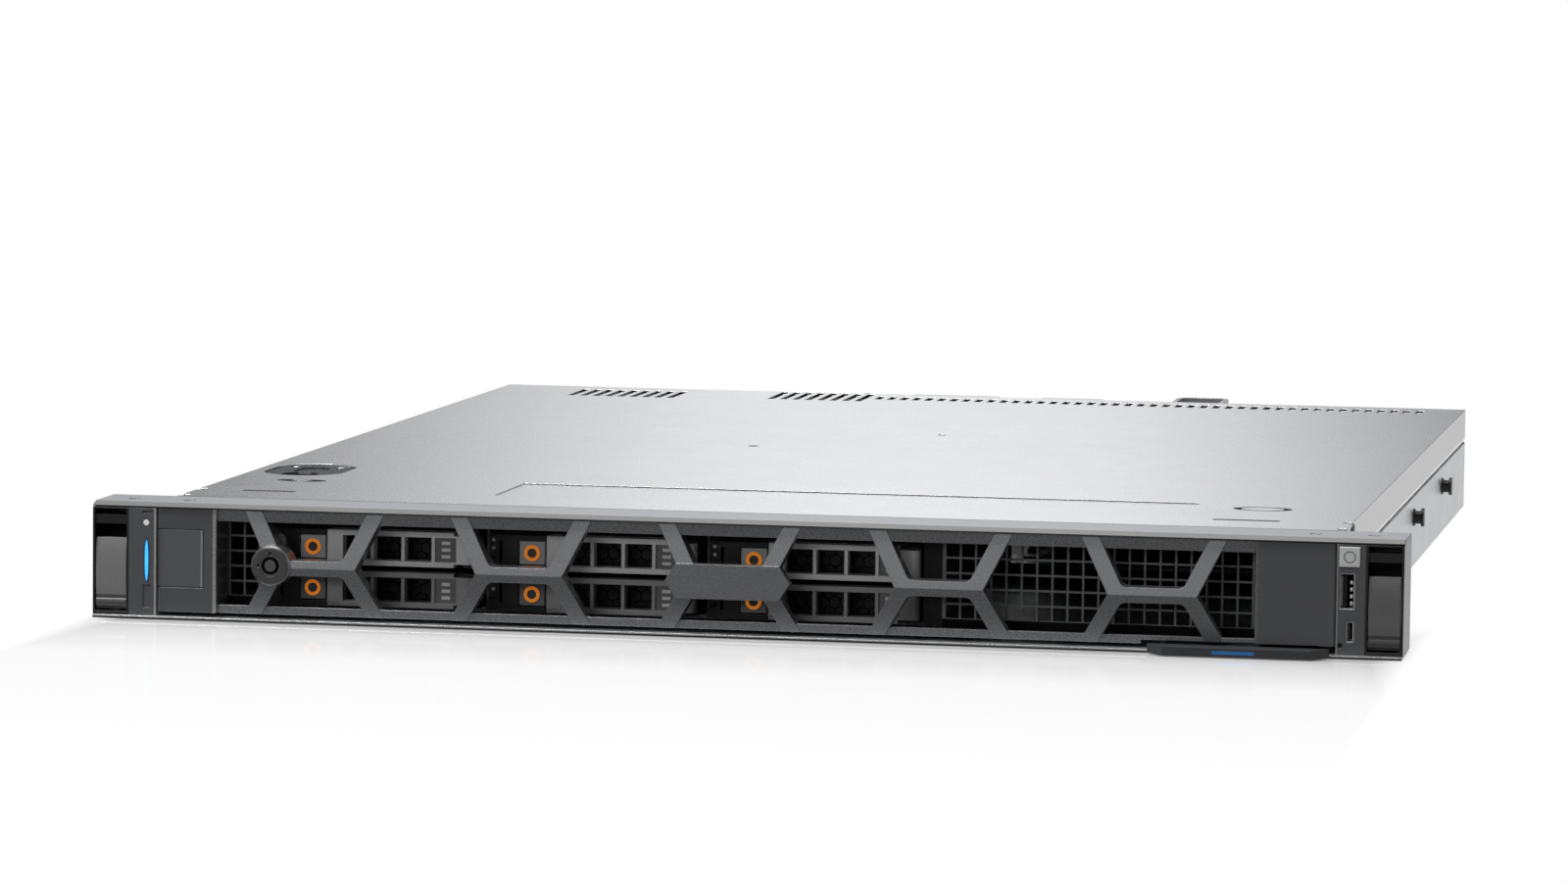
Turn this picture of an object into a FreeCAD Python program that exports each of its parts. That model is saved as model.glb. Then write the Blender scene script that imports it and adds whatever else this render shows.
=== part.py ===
import FreeCAD, Part
import math
import os
from FreeCAD import Vector

# 1U rack server, 19-inch ears, three columns by two rows of 2.5-inch hot-plug drives.
# Millimetres. +Z is up and the front faces -Y. The model is laid out with y = 0 at the
# ridge of the front bezel and z = 0 under the chassis, and save() moves every solid by
# the same amount, so that the origin lies at the middle of the bounding box's floor.

# ---------------------------------------------------------------- overall sizes
EAR_SPAN = 482.0          # over both rack ears, 19-inch rack
BODY_HEIGHT = 42.8        # one rack unit less its clearance
BODY_DEPTH = 585.0        # bezel ridge to the outside of the rear panel
STEEL = 1.2               # chassis sheet
COVER_STEEL = 1.0         # top cover and hood sheet
PLAY = 0.3                # clearance between pieces that move apart
FIT = 0.08                # radial clearance of a pin in its bore
RACK_HOLE_HEIGHT = 21.4   # middle hole of the rack unit, above the chassis floor

# ---------------------------------------------------------------- front end
FRONT_DEPTH = 28.0        # depth of ears, side panels and hood
LIP_REACH = 1.5           # chassis floor ahead of the bezel ridge
HOOD_BEVEL = 4.5          # depth of the hood's sloping front edge
HOOD_LIP = 1.7            # drop of that edge
PANEL_WIDTH = 10.3        # status and control panels between body and ears
EAR_WALL = 0.8
HEAD_ROOM = 0.55          # round a rack screw's head, inside the ear
EAR_BACK = 6.0            # thickness of the ear's back wall
BEZEL_DEPTH = 18.2
BEZEL_BOTTOM = 2.6
BEZEL_TOP = 40.8
BEZEL_WALL = 2.0
BLOCK_FACE = 1.5          # end blocks' front, behind the ridge
RAIL_FACE = 3.5           # rails' front, behind the ridge
RIDGE_FACE = 0.0
RIDGE_HEIGHT = 20.2
TOP_RAIL = 4.3
BOTTOM_RAIL = 3.0
LEFT_BLOCK = 22.1         # width of the end block that holds the release tab
RIGHT_BLOCK = 28.9
CELLS = 5                 # X-shaped cells of the lattice
CELL_MARGIN = 10.3        # from the end blocks to the outermost cells' rails
CELL_TOP = 52.7           # cell width at the rails
CELL_WAIST = 32.2         # cell width at the ridge
STRUT_WIDTH = 6.5
STRUT_DEPTH = 9.0
WAIST_BAR = 5.6
CORNER = 3.0              # rounding of the lattice windows
BADGE_WIDTH = 46.0        # bare plate on the middle cell
BADGE_HEIGHT = 12.6
TAB_WIDTH = 17.0
TAB_HEIGHT = 21.0
TAB_CENTRE = 22.5
TAB_TRAVEL = 2.0
LOCK_OFFSET = 15.5        # lock's centre, left of the first cell's middle
LOCK_Z = 21.0
LOCK_RADIUS = 7.4
LOCK_CORE = 4.0
LOCK_PROUD = 1.2

LATCH_PIVOT_Y = 2.6
LATCH_PIVOT_Z = 5.6
LATCH_BOSS = 2.3
LATCH_PIN = 1.2
LATCH_TOP = 29.5
LATCH_CURVE = 1.0         # bulge of the lever's grip
LATCH_ARM = 2.6
LEDGE_LOW = 34.6
LEDGE_HIGH = 38.0

LIGHT_OFFSET = 3.5        # light bar's middle from the body's side
LIGHT_WIDTH = 1.9
LIGHT_LOW = 13.0
LIGHT_HIGH = 30.0
POWER_WIDTH = 7.6
POWER_HEIGHT = 7.4
POWER_Z = 36.3
POWER_OFFSET = 4.6        # power button's middle from the body's side
POWER_TRAVEL = 1.0
USB_WIDTH = 5.6
USB_HEIGHT = 13.2
USB_OFFSET = 3.8
USB_Z = 24.0
MICRO_WIDTH = 2.9
MICRO_HEIGHT = 7.7
MICRO_OFFSET = 5.0
MICRO_Z = 9.5
PORT_WALL = 0.4

TAG_WIDTH = 65.0          # pull-out information card
TAG_INSET = 2.0           # its right end from the body's side
TAG_REACH = 9.5
TAG_HEIGHT = 3.4
TAG_CARD = 0.9
TAG_CARD_LENGTH = 68.0
TAG_CHAMFER = 6.0

DIMPLE_RADIUS = 2.4       # rivet dimples in the hood
DIMPLE_INSETS = (12.0, 33.0)   # from the ears' outer edges
HOOK_SLOT_TOP = 22.2
RACK_SCREW = 2.5
RACK_SCREW_HEAD = 3.9
RACK_SCREW_REACH = 8.0
RACK_SCREW_NECK = 1.9     # plain shank that holds the screw captive in the ear
RACK_THREAD_GAP = 0.3     # from the back of the ear to the first thread
POWER_DEPTH = 4.0
USB_DEPTH = 15.0
MICRO_DEPTH = 7.0
TAB_SHEET = 2.2
TAB_STEM = 2.4

# ---------------------------------------------------------------- drive bays
COLUMNS = 3
ROWS = 2
BAY_INSET = 37.1          # first carrier from the body's left side
SLED_SIDE = 4.225         # from a disk's side to its carrier's
DRIVE_HEIGHT = 13.0
COLUMN_GAP = 4.4          # between neighbouring carriers
ROW_GAP = 2.2
ROW_LOW = 4.8             # underside of the lower carriers
DRIVE_FACE = 20.0         # carriers' front behind the bezel ridge
FACE_DEPTH = 12.0
DISK_WIDTH = 69.85
DISK_LENGTH = 100.2
DISK_HEIGHT = 9.5
RAIL_SHEET = 1.2          # carrier side rails
BUTTON_OFFSET = 17.2      # release button's centre from the carrier's left end
BUTTON_WIDTH = 9.6
BUTTON_HEIGHT = 8.6
BUTTON_DEPTH = 5.0
BUTTON_TRAVEL = 1.5
RING_OUTER = 3.1
RING_INNER = 1.6
HANDLE_DEPTH = 6.0
HANDLE_RAIL = 2.0
CATCH_WIDTH = 5.9         # plain plate at the handle's free end
WINDOW_PITCH = 11.6
WINDOWS = 3
POST_WIDTH = 1.3
HINGE_PIN = 1.0
HINGE_INSET = 3.2         # hinge pin from the handle's right end
CAGE_BACK = 144.0
CAGE_TOP = 34.4
CAGE_SHEET = 1.2
RUNNER = 1.6
RUNNER_REACH = 3.4         # runners' reach under the carriers' side rails
BOARD = 2.0               # backplane board
GRID_PITCH = 5.6
GRID_BAR = 0.8
GRID_ROWS = 5
GRID_BOTTOM = 7.6
LEFT_GRID_COLUMNS = 2
RIGHT_GRID_END = 26.0     # plain end of the right-hand plate

DISK_SCREWS = (14.0, 90.6)   # side screws of a 2.5-inch disk, from its front end
POST_FOLD = 4.0

# ---------------------------------------------------------------- inside
FAN_SIZE = 40.0
FAN_DEPTH = 28.0
FAN_FRONT = 180.0
FAN_BORE = 18.9
FAN_HUB = 8.7
FAN_BLADES = 7
FAN_PITCH = 55.0
FANS = 4
FAN_INSET = 52.0          # first fan's middle from the body's left side
FAN_SHAFT = 1.5
BOARD_LOW = 6.2           # underside of the main board, on its standoffs
BOARD_THICK = 1.6
BOARD_GAP = 6.0           # from the fans to the main board
BOARD_REAR_GAP = 4.0      # from the board to the outside of the rear panel
BOARD_STEP_GAP = 17.0     # the board is cut away this far ahead of the power supplies
BOARD_SIDE_GAP = 4.3      # between the board and the power supply beside it
SINK_INSET = 157.0        # heatsink's middle from the body's left side
SINK_BEHIND = 121.0       # heatsink's middle behind the board's front edge
SINK_WIDTH = 80.0
SINK_LENGTH = 90.0
SINK_TOP = 36.5
SINK_FINS = 25
SINK_FIN = 0.9
DIMMS = 4
DIMM_PITCH = 9.5
DIMM_INSET = 93.0         # first module from the heatsink's middle
DIMM_LENGTH = 133.35
DIMM_TOP = 41.0
DIMM_BEHIND = 6.0         # modules' middle behind the heatsink's
SHROUD_WALL = 1.2
SHROUD_WIDTH = 96.0
SHROUD_FLARE = 8.0

STUD_RADIUS = 2.6
BOARD_SCREW = 1.6
SOCKET_HEIGHT = 3.0
SINK_BASE = 5.0
CABLE_GAP = 18.0          # first lead's plug from the last fan
CABLE_PITCH = 14.0
CABLE_PLUG_WIDTH = 12.0
CABLES = 2
CABLE_PLUG_BEHIND = 26.0
CABLE_RADIUS = 1.9

# ---------------------------------------------------------------- rear end
PSU_WIDTH = 73.0
PSU_LENGTH = 185.0
PSU_INSET = 8.9           # spare supply's bay from the body's right side
PSU_HEIGHT = 39.4
HANDLE_REACH = 34.0       # power supply handle behind the rear panel
LOOP_WIDTH = 23.2
LOOP_STRAP = 2.2
LOOP_LOW = 22.0
LOOP_HIGH = 42.3
PSU_LATCH_TRAVEL = 1.5
SLOT_INSET = 95.5         # card slots from the body's left side
SLOT_WIDTH = 78.0
SLOT_HEIGHT = 15.6
SLOT_LOW = 4.4
SLOT_RISE = 18.0
RISER_GAP = 3.0           # riser card from the card slots
RISER_BRACKET = 6.0       # card and bracket together
RISER_TOP = 39.0
UPRIGHT_TOP = 38.0        # top of the backplane and of the power board

SLOT_LATCH_GAP = 4.9      # clip's pin from the card slots
SLOT_LATCH_LOW = 35.2
REAR_FOLD = 8.0           # reach of the rear panel's folded edges
REAR_FOLD_TOP = 42.5
REAR_FOLDS = ((185.5, 224.0), (244.0, 271.0))   # from the body's left side
SLOT_LATCH_PIN = 1.5
PSU_EDGE = 10.0
RAIL_STUDS = 3
RAIL_STUD_FIRST = 183.0
RAIL_STUD_PITCH = 140.0
RAIL_STUD_Z = 19.8
REAR_SOCKETS = {          # inset from the body's left side, width, height above the board
    "usb_pair": (8.0, 14.4, 16.0),
    "network_1": (24.5, 16.0, 13.6),
    "network_2": (42.0, 16.0, 13.6),
    "display": (60.5, 31.0, 12.4),
}

# ---------------------------------------------------------------- cover
FLANGE_FRONT = 66.0       # the cover's side flanges start behind this
SEAM_HEIGHT = 29.6        # lower edge of those flanges
VENT_PITCH = 5.6
VENT_WIDTH = 3.0
DISH_INSET = 20.2         # latch dish from the body's left side
DISH_Y = 147.0
DISH_WIDTH = 31.0
DISH_LENGTH = 50.0
DISH_DEPTH = 3.0
COVER_LOCK_Y = 102.0
COVER_LOCK_INSET = 28.5
COVER_LOCK_RADIUS = 4.0

LABEL_PANEL = (112.0, 62.4, 66.0, 117.0)   # pressed area: insets from both sides, front, rear
LABEL_DROP = 0.4
COVER_HOLES = ((165.7, 304.0, 2.0), (231.0, 383.0, 1.4))   # inset from the left, y, radius
COVER_LATCH_PIN = 0.7
COVER_LATCH_SHEET = 1.4
VENTS = (                 # from the body's left side to both ends, then both ends from the rear
    (38.0, 86.0, 51.0, 15.0),
    (127.0, 169.5, 42.0, 2.0),
    (173.0, 417.0, 29.0, 13.0),
)

# ---------------------------------------------------------------- worked out
HALF_EARS = EAR_SPAN / 2
HOLE_INSET = EAR_WALL + LATCH_ARM + 2 * PLAY + HEAD_ROOM + RACK_SCREW_HEAD
RACK_HOLE_SPAN = EAR_SPAN - 2 * HOLE_INSET      # hole columns, centre to centre
PANEL_OUT = RACK_HOLE_SPAN / 2 - RACK_SCREW_HEAD - HEAD_ROOM - EAR_WALL
HALF_BODY = PANEL_OUT - PANEL_WIDTH
COVER_UNDER = BODY_HEIGHT - COVER_STEEL
EAR_IN = PANEL_OUT + PLAY
LIP_UNDER = BODY_HEIGHT - HOOD_LIP
BEZEL_HALF = HALF_BODY - PLAY
LATTICE_LEFT = -BEZEL_HALF + LEFT_BLOCK
LATTICE_RIGHT = BEZEL_HALF - RIGHT_BLOCK
LATTICE_CENTRE = (LATTICE_LEFT + LATTICE_RIGHT) / 2
CELL_PITCH = (LATTICE_RIGHT - LATTICE_LEFT - CELL_TOP - 2 * CELL_MARGIN) / (CELLS - 1)
LOCK_X = LATTICE_CENTRE - CELL_PITCH * (CELLS - 1) / 2 - LOCK_OFFSET
LIGHT_X = -HALF_BODY - LIGHT_OFFSET
POWER_X = HALF_BODY + POWER_OFFSET
USB_X = HALF_BODY + USB_OFFSET
MICRO_X = HALF_BODY + MICRO_OFFSET
TAG_LEFT = HALF_BODY - TAG_INSET - TAG_WIDTH
WALL_FRONT = BEZEL_DEPTH + PLAY
WALL_INSET = COVER_STEEL + PLAY
WALL_TOP = COVER_UNDER - PLAY
WALL_INSIDE = HALF_BODY - WALL_INSET - STEEL
DISK_FRONT = DRIVE_FACE + FACE_DEPTH + 1.0
DRIVE_WIDTH = DISK_WIDTH + 2 * SLED_SIDE
DRIVE_LEFT = -HALF_BODY + BAY_INSET
COLUMN_PITCH = DRIVE_WIDTH + COLUMN_GAP
ROW_PITCH = DRIVE_HEIGHT + ROW_GAP
FAN_FIRST = -HALF_BODY + FAN_INSET
PSU_LEFT = HALF_BODY - PSU_INSET - 2 * PSU_WIDTH - 2 * PLAY - CAGE_SHEET
SLOT_LEFT = -HALF_BODY + SLOT_INSET
SLOT_LATCH_X = SLOT_LEFT + SLOT_WIDTH + SLOT_LATCH_GAP
BOARD_TOP = BOARD_LOW + BOARD_THICK
BOARD_FRONT = FAN_FRONT + FAN_DEPTH + BOARD_GAP
BOARD_REAR = BODY_DEPTH - BOARD_REAR_GAP
BOARD_STEP = BODY_DEPTH - PSU_LENGTH - BOARD_STEP_GAP
BOARD_RIGHT = PSU_LEFT - BOARD_SIDE_GAP
SINK_X = -HALF_BODY + SINK_INSET
SINK_Y = BOARD_FRONT + SINK_BEHIND
DIMM_FIRST = SINK_X - DIMM_INSET
DIMM_Y = SINK_Y + DIMM_BEHIND
CABLE_FIRST = FAN_FIRST + (FANS - 1) * FAN_PITCH + FAN_SIZE / 2 + CABLE_GAP
CABLE_ENDS = [CABLE_FIRST + CABLE_PITCH * i for i in range(CABLES)]
CABLE_PLUG_Y = BOARD_FRONT + CABLE_PLUG_BEHIND
BOARD_SIDES = (-HALF_BODY + 13.0, BOARD_RIGHT - 10.0, HALF_BODY - 15.0)
BOARD_STUDS = [(x, BOARD_FRONT + 10.0) for x in (*BOARD_SIDES, SINK_X - 64.0)]
BOARD_STUDS += [(x, BOARD_STEP - 9.0) for x in (*BOARD_SIDES, SINK_X - 54.6)]
BOARD_STUDS += [(x, BODY_DEPTH - 33.0) for x in (-HALF_BODY + 85.0, BOARD_RIGHT - 10.0)]
DISH_X = -HALF_BODY + DISH_INSET
COVER_LOCK_X = -HALF_BODY + COVER_LOCK_INSET
BACK_Y = -TAG_REACH
END_Y = BODY_DEPTH + HANDLE_REACH
MIDDLE_Y = (BACK_Y + END_Y) / 2

PARTS = {}


# ---------------------------------------------------------------- shape helpers
def box(x0, x1, y0, y1, z0, z1):
    return Part.makeBox(x1 - x0, y1 - y0, z1 - z0, Vector(x0, y0, z0))


def rod(axis, radius, centre, start, end):
    """Cylinder along x, y or z from start to end; centre is its other two coordinates."""
    base = list(centre)
    base.insert("xyz".index(axis), start)
    way = Vector(*[1.0 if a == axis else 0.0 for a in "xyz"])
    return Part.makeCylinder(radius, end - start, Vector(*base), way)


def placer(axis, at):
    """Turns two outline coordinates into a point on the plane across the axis."""
    if axis == "x":
        return lambda a, b: Vector(at, a, b)
    if axis == "y":
        return lambda a, b: Vector(a, at, b)
    return lambda a, b: Vector(a, b, at)


def outline(points, radii, place):
    """Closed wire of straight runs whose corners are arcs where a radius is given."""
    n = len(points)
    corners = []
    for i, point in enumerate(points):
        r = radii[i] if isinstance(radii, (list, tuple)) else radii
        p = place(*point)
        if r <= 0:
            corners.append((p, None, p))
            continue
        a = (place(*points[i - 1]) - p).normalize()
        b = (place(*points[(i + 1) % n]) - p).normalize()
        half = a.getAngle(b) / 2
        run = r / math.tan(half)
        inwards = (a + b).normalize() * (r / math.sin(half) - r)
        corners.append((p + a * run, p + inwards, p + b * run))
    edges = []
    for i, (start, middle, end) in enumerate(corners):
        if middle is not None:
            edges.append(Part.Arc(start, middle, end).toShape())
        following = corners[(i + 1) % n][0]
        if (following - end).Length > 1e-6:
            edges.append(Part.makeLine(end, following))
    return Part.Wire(edges)


def prism(axis, points, start, end, radii=0.0):
    """Outline extruded along an axis: (y, z) points for x, (x, z) for y, (x, y) for z."""
    face = Part.Face(outline(points, radii, placer(axis, start)))
    run = end - start
    way = Vector(*[run if a == axis else 0.0 for a in "xyz"])
    return face.extrude(way)


def rectangle(a0, a1, b0, b1):
    return [(a0, b0), (a1, b0), (a1, b1), (a0, b1)]


def join(shapes):
    shapes = list(shapes)
    whole = shapes[0].multiFuse(shapes[1:]) if len(shapes) > 1 else shapes[0]
    return whole.removeSplitter()


def carve(shape, tools):
    tools = list(tools)
    return shape.cut(tools).removeSplitter() if tools else shape


def mirror_x(shape):
    return shape.mirror(Vector(0, 0, 0), Vector(1, 0, 0))


def save(node, *shapes):
    """Keep the solids of one node, moved to the part's own origin."""
    solids = [s for shape in shapes for s in shape.Solids]
    for s in solids:
        if s.Volume < 0:
            s.reverse()
        s.translate(Vector(0, -MIDDLE_Y, 0))
    PARTS[node] = solids[0] if len(solids) == 1 else Part.makeCompound(solids)


# ---------------------------------------------------------------- chassis shell
def chassis_tray():
    """Folded pan: floor, side walls stepped in above the seam, front lip under the ears."""
    step = SEAM_HEIGHT - PLAY - WALL_INSET
    half = [(0, 0), (HALF_BODY, 0), (HALF_BODY, step), (HALF_BODY - WALL_INSET, step + WALL_INSET),
            (HALF_BODY - WALL_INSET, WALL_TOP), (HALF_BODY - WALL_INSET - STEEL, WALL_TOP),
            (HALF_BODY - WALL_INSET - STEEL, step + WALL_INSET - 0.4),
            (HALF_BODY - STEEL, step - 0.4), (HALF_BODY - STEEL, STEEL), (0, STEEL)]
    right = prism("y", half, WALL_FRONT, BODY_DEPTH)
    floor = box(-HALF_BODY, HALF_BODY, -LIP_REACH, WALL_FRONT, 0, STEEL)
    lip = box(-HALF_EARS + 0.3, HALF_EARS - 0.3, -LIP_REACH, FRONT_DEPTH, 0, STEEL)
    studs = [rod("z", STUD_RADIUS, (x, y), STEEL, BOARD_LOW) for x, y in BOARD_STUDS]
    save("chassis_tray", join([right, mirror_x(right), floor, lip] + studs))


def front_hood():
    """Top band over bezel and ears, with a sloping front edge and four rivet dimples."""
    points = [(0.3, LIP_UNDER), (0, LIP_UNDER + 0.4), (HOOD_BEVEL - 0.5, BODY_HEIGHT),
              (FRONT_DEPTH, BODY_HEIGHT), (FRONT_DEPTH, COVER_UNDER), (HOOD_BEVEL, COVER_UNDER),
              (HOOD_BEVEL / 2, LIP_UNDER)]
    band = prism("x", points, -HALF_EARS, HALF_EARS)
    dimples = [rod("z", DIMPLE_RADIUS, (side * x, FRONT_DEPTH / 2), BODY_HEIGHT - 0.35, BODY_HEIGHT + 1)
               for side in (-1, 1) for x in (HALF_EARS - inset for inset in DIMPLE_INSETS)]
    save("front_hood", carve(band, dimples))


def side_profile(back):
    """Side outline shared by ears and panels: stepped under the hood's lip."""
    return [(0, STEEL), (back, STEEL), (back, COVER_UNDER), (HOOD_BEVEL + 2 * PLAY, COVER_UNDER),
            (HOOD_BEVEL / 2 + PLAY, LIP_UNDER - PLAY), (0, LIP_UNDER - PLAY)]


def ear_housing():
    """Right-hand ear: open-fronted housing with ledge, lever pin, hook slot and screw hole."""
    body = prism("x", side_profile(FRONT_DEPTH), EAR_IN - PLAY, HALF_EARS)
    inner, outer = EAR_IN - PLAY + EAR_WALL, HALF_EARS - EAR_WALL
    back = FRONT_DEPTH - EAR_BACK
    floor = LATCH_PIVOT_Z - LATCH_BOSS - 0.8
    hollow = box(inner, outer, -1, back, floor, LIP_UNDER - 0.9)
    ledge = box(inner, outer, 1.2, 5.0, LEDGE_LOW, LEDGE_HIGH)
    pin = rod("x", LATCH_PIN, (LATCH_PIVOT_Y, LATCH_PIVOT_Z), EAR_IN, HALF_EARS - PLAY)
    slot = box(outer - LATCH_ARM - 2 * PLAY, outer, back - 1, FRONT_DEPTH + 1, floor, HOOK_SLOT_TOP)
    screw = rod("y", RACK_SCREW + PLAY, (RACK_HOLE_SPAN / 2, RACK_HOLE_HEIGHT), back - 1, FRONT_DEPTH + 1)
    return join([carve(body, [hollow, slot, screw]), ledge, pin])


def rack_latch():
    """Right-hand slam latch: bowed grip on a pin boss, with a hook arm through the ear's back."""
    inner = EAR_IN - PLAY + EAR_WALL + PLAY
    outer = HALF_EARS - EAR_WALL - PLAY
    low, top = LATCH_PIVOT_Z - LATCH_BOSS, LATCH_TOP
    bow = Part.Arc(Vector(inner, 1.3, low), Vector(inner, 1.3 - LATCH_CURVE, (low + top) / 2),
                   Vector(inner, 1.3, top)).toShape()
    corners = [Vector(inner, 1.3, top), Vector(inner, 3.6, top), Vector(inner, 3.6, low),
               Vector(inner, 1.3, low)]
    sides = [Part.makeLine(corners[i], corners[i + 1]) for i in range(3)]
    grip = Part.Face(Part.Wire([bow] + sides)).extrude(Vector(outer - inner, 0, 0))
    boss = rod("x", LATCH_BOSS, (LATCH_PIVOT_Y, LATCH_PIVOT_Z), inner, outer)
    rib = box(outer - LATCH_ARM, outer, 3.4, 7.0, LATCH_PIVOT_Z, top - 6)
    end = FRONT_DEPTH + 6.0
    arm = prism("x", [(3.4, 3.6), (end, 3.6), (end, 9.2), (end - 2.6, 9.2), (end - 4.6, 6.6), (3.4, 6.6)],
                outer - LATCH_ARM, outer)
    bore = rod("x", LATCH_PIN + FIT, (LATCH_PIVOT_Y, LATCH_PIVOT_Z), inner - 1, outer + 1)
    return carve(join([grip, boss, rib, arm]), [bore])


def ears_and_latches():
    ear, latch = ear_housing(), rack_latch()
    save("ear_housings", ear, mirror_x(ear))
    save("rack_latch_right", latch)
    save("rack_latch_left", mirror_x(latch))


def light_outline(grow=0.0):
    half = LIGHT_WIDTH / 2 + grow
    low, high = LIGHT_LOW - grow, LIGHT_HIGH + grow
    return [(LIGHT_X, low), (LIGHT_X + half, low + 3.4), (LIGHT_X + half, high - 3.4), (LIGHT_X, high),
            (LIGHT_X - half, high - 3.4), (LIGHT_X - half, low + 3.4)]


def status_panel():
    """Left-hand panel with its light bar, a blank strip below it and a small sensor slot."""
    body = prism("x", side_profile(FRONT_DEPTH), -PANEL_OUT, -HALF_BODY)
    pocket = prism("y", light_outline(0.1), -1, 1.2)
    strip = box(LIGHT_X - 1.4, LIGHT_X + 1.6, -1, 0.4, 4.0, LIGHT_LOW - 0.4)
    sensor = box(LIGHT_X - 1.6, LIGHT_X + 2.2, -1, 0.6, 38.9, 39.8)
    save("status_panel", carve(body, [pocket, strip, sensor]))
    save("status_light", prism("y", light_outline(), -0.2, 1.2))


def control_panel():
    """Right-hand panel: power button well, upright USB socket, micro socket, indicator hole."""
    body = prism("x", side_profile(FRONT_DEPTH), HALF_BODY, PANEL_OUT)
    well = box(POWER_X - POWER_WIDTH / 2 - 0.2, POWER_X + POWER_WIDTH / 2 + 0.2, -1,
               POWER_DEPTH + POWER_TRAVEL + PLAY, POWER_Z - POWER_HEIGHT / 2 - 0.2,
               POWER_Z + POWER_HEIGHT / 2 + 0.2)
    usb = socket_block(USB_X, USB_Z, USB_WIDTH, USB_HEIGHT, -1, USB_DEPTH)
    micro = socket_block(MICRO_X, MICRO_Z, MICRO_WIDTH, MICRO_HEIGHT, -1, MICRO_DEPTH)
    hole = rod("y", 0.9, (HALF_BODY + 1.6, 4.6), -1, 3.0)
    save("control_panel", carve(body, [well, usb, micro, hole]))
    button = box(POWER_X - POWER_WIDTH / 2, POWER_X + POWER_WIDTH / 2, -0.4, POWER_DEPTH,
                 POWER_Z - POWER_HEIGHT / 2, POWER_Z + POWER_HEIGHT / 2)
    save("power_button", button.makeFillet(0.5, front_edges(button)))
    save("service_ports", port(USB_X, USB_Z, USB_WIDTH, USB_HEIGHT, USB_DEPTH, 1.8),
         port(MICRO_X, MICRO_Z, MICRO_WIDTH, MICRO_HEIGHT, MICRO_DEPTH, 0.6))


def front_edges(solid):
    """Edges round the face nearest the front."""
    near = solid.BoundBox.YMin
    return [e for e in solid.Edges if abs(e.BoundBox.YMax - near) < 0.01]


def socket_block(x, z, width, height, y0, y1):
    return box(x - width / 2, x + width / 2, y0, y1, z - height / 2, z + height / 2)


def port(x, z, width, height, depth, tongue):
    """Sheet shell of an upright socket, closed behind, with its contact tongue."""
    shell = socket_block(x, z, width - 0.1, height - 0.1, 0.3, depth)
    wall = 2 * PORT_WALL + 0.1
    hollow = socket_block(x, z, width - wall, height - wall, -1, depth - 1.0)
    left = x - (width - wall) / 2 + 0.3
    blade = box(left, left + tongue, 1.2, depth - 0.5, z - height / 2 + 1.2, z + height / 2 - 1.2)
    return join([carve(shell, [hollow]), blade])


# ---------------------------------------------------------------- bezel
def slope(z):
    """Front of the struts: foremost at the ridge, falling back towards both rails."""
    edge = BEZEL_TOP if z > RIDGE_HEIGHT else BEZEL_BOTTOM
    return RIDGE_FACE + (RAIL_FACE - 0.3 - RIDGE_FACE) * (z - RIDGE_HEIGHT) / (edge - RIDGE_HEIGHT)


def half_width(z):
    """Half the width of a lattice cell at a height."""
    edge = BEZEL_TOP if z > RIDGE_HEIGHT else BEZEL_BOTTOM
    share = (z - RIDGE_HEIGHT) / (edge - RIDGE_HEIGHT)
    return (CELL_WAIST + (CELL_TOP - CELL_WAIST) * share) / 2


def cell_centres():
    return [LATTICE_CENTRE + (i - (CELLS - 1) / 2) * CELL_PITCH for i in range(CELLS)]


def lattice_cell(centre):
    """One X-shaped cell: four struts and a waist bar, with rounded windows above and below."""
    waist = CELL_WAIST / 2
    high, low = half_width(BEZEL_TOP), half_width(BEZEL_BOTTOM)
    shape = prism("y", [(centre - waist, RIDGE_HEIGHT), (centre - low, BEZEL_BOTTOM),
                        (centre + low, BEZEL_BOTTOM), (centre + waist, RIDGE_HEIGHT),
                        (centre + high, BEZEL_TOP), (centre - high, BEZEL_TOP)], -1, STRUT_DEPTH)
    windows = []
    for level, edge in ((RIDGE_HEIGHT + WAIST_BAR / 2, BEZEL_TOP), (RIDGE_HEIGHT - WAIST_BAR / 2, BEZEL_BOTTOM)):
        near, far = half_width(level) - STRUT_WIDTH, half_width(edge) - STRUT_WIDTH
        past = edge + (2.0 if edge > level else -2.0)
        window = [(centre - near, level), (centre + near, level), (centre + far, edge), (centre + far, past),
                  (centre - far, past), (centre - far, edge)]
        windows.append(prism("y", window, -2, STRUT_DEPTH + 1, [CORNER, CORNER, 0, 0, 0, 0]))
    return shape.cut(windows)


def lattice():
    """Five cells cut to the sloping front, then the lock boss and the bare badge plate."""
    wedge = prism("x", [(RIDGE_FACE, RIDGE_HEIGHT), (slope(BEZEL_TOP), BEZEL_TOP), (STRUT_DEPTH, BEZEL_TOP),
                        (STRUT_DEPTH, BEZEL_BOTTOM), (slope(BEZEL_BOTTOM), BEZEL_BOTTOM)],
                  LATTICE_LEFT, LATTICE_RIGHT)
    cells = [lattice_cell(c).common(wedge) for c in cell_centres()]
    middle = cell_centres()[CELLS // 2]
    half, lean = BADGE_WIDTH / 2, 4.0
    badge = prism("y", [(middle - half, RIDGE_HEIGHT), (middle - half + lean, RIDGE_HEIGHT - BADGE_HEIGHT / 2),
                        (middle + half - lean, RIDGE_HEIGHT - BADGE_HEIGHT / 2), (middle + half, RIDGE_HEIGHT),
                        (middle + half - lean, RIDGE_HEIGHT + BADGE_HEIGHT / 2),
                        (middle - half + lean, RIDGE_HEIGHT + BADGE_HEIGHT / 2)], -0.4, STRUT_DEPTH / 2)
    return cells + [badge]


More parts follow.
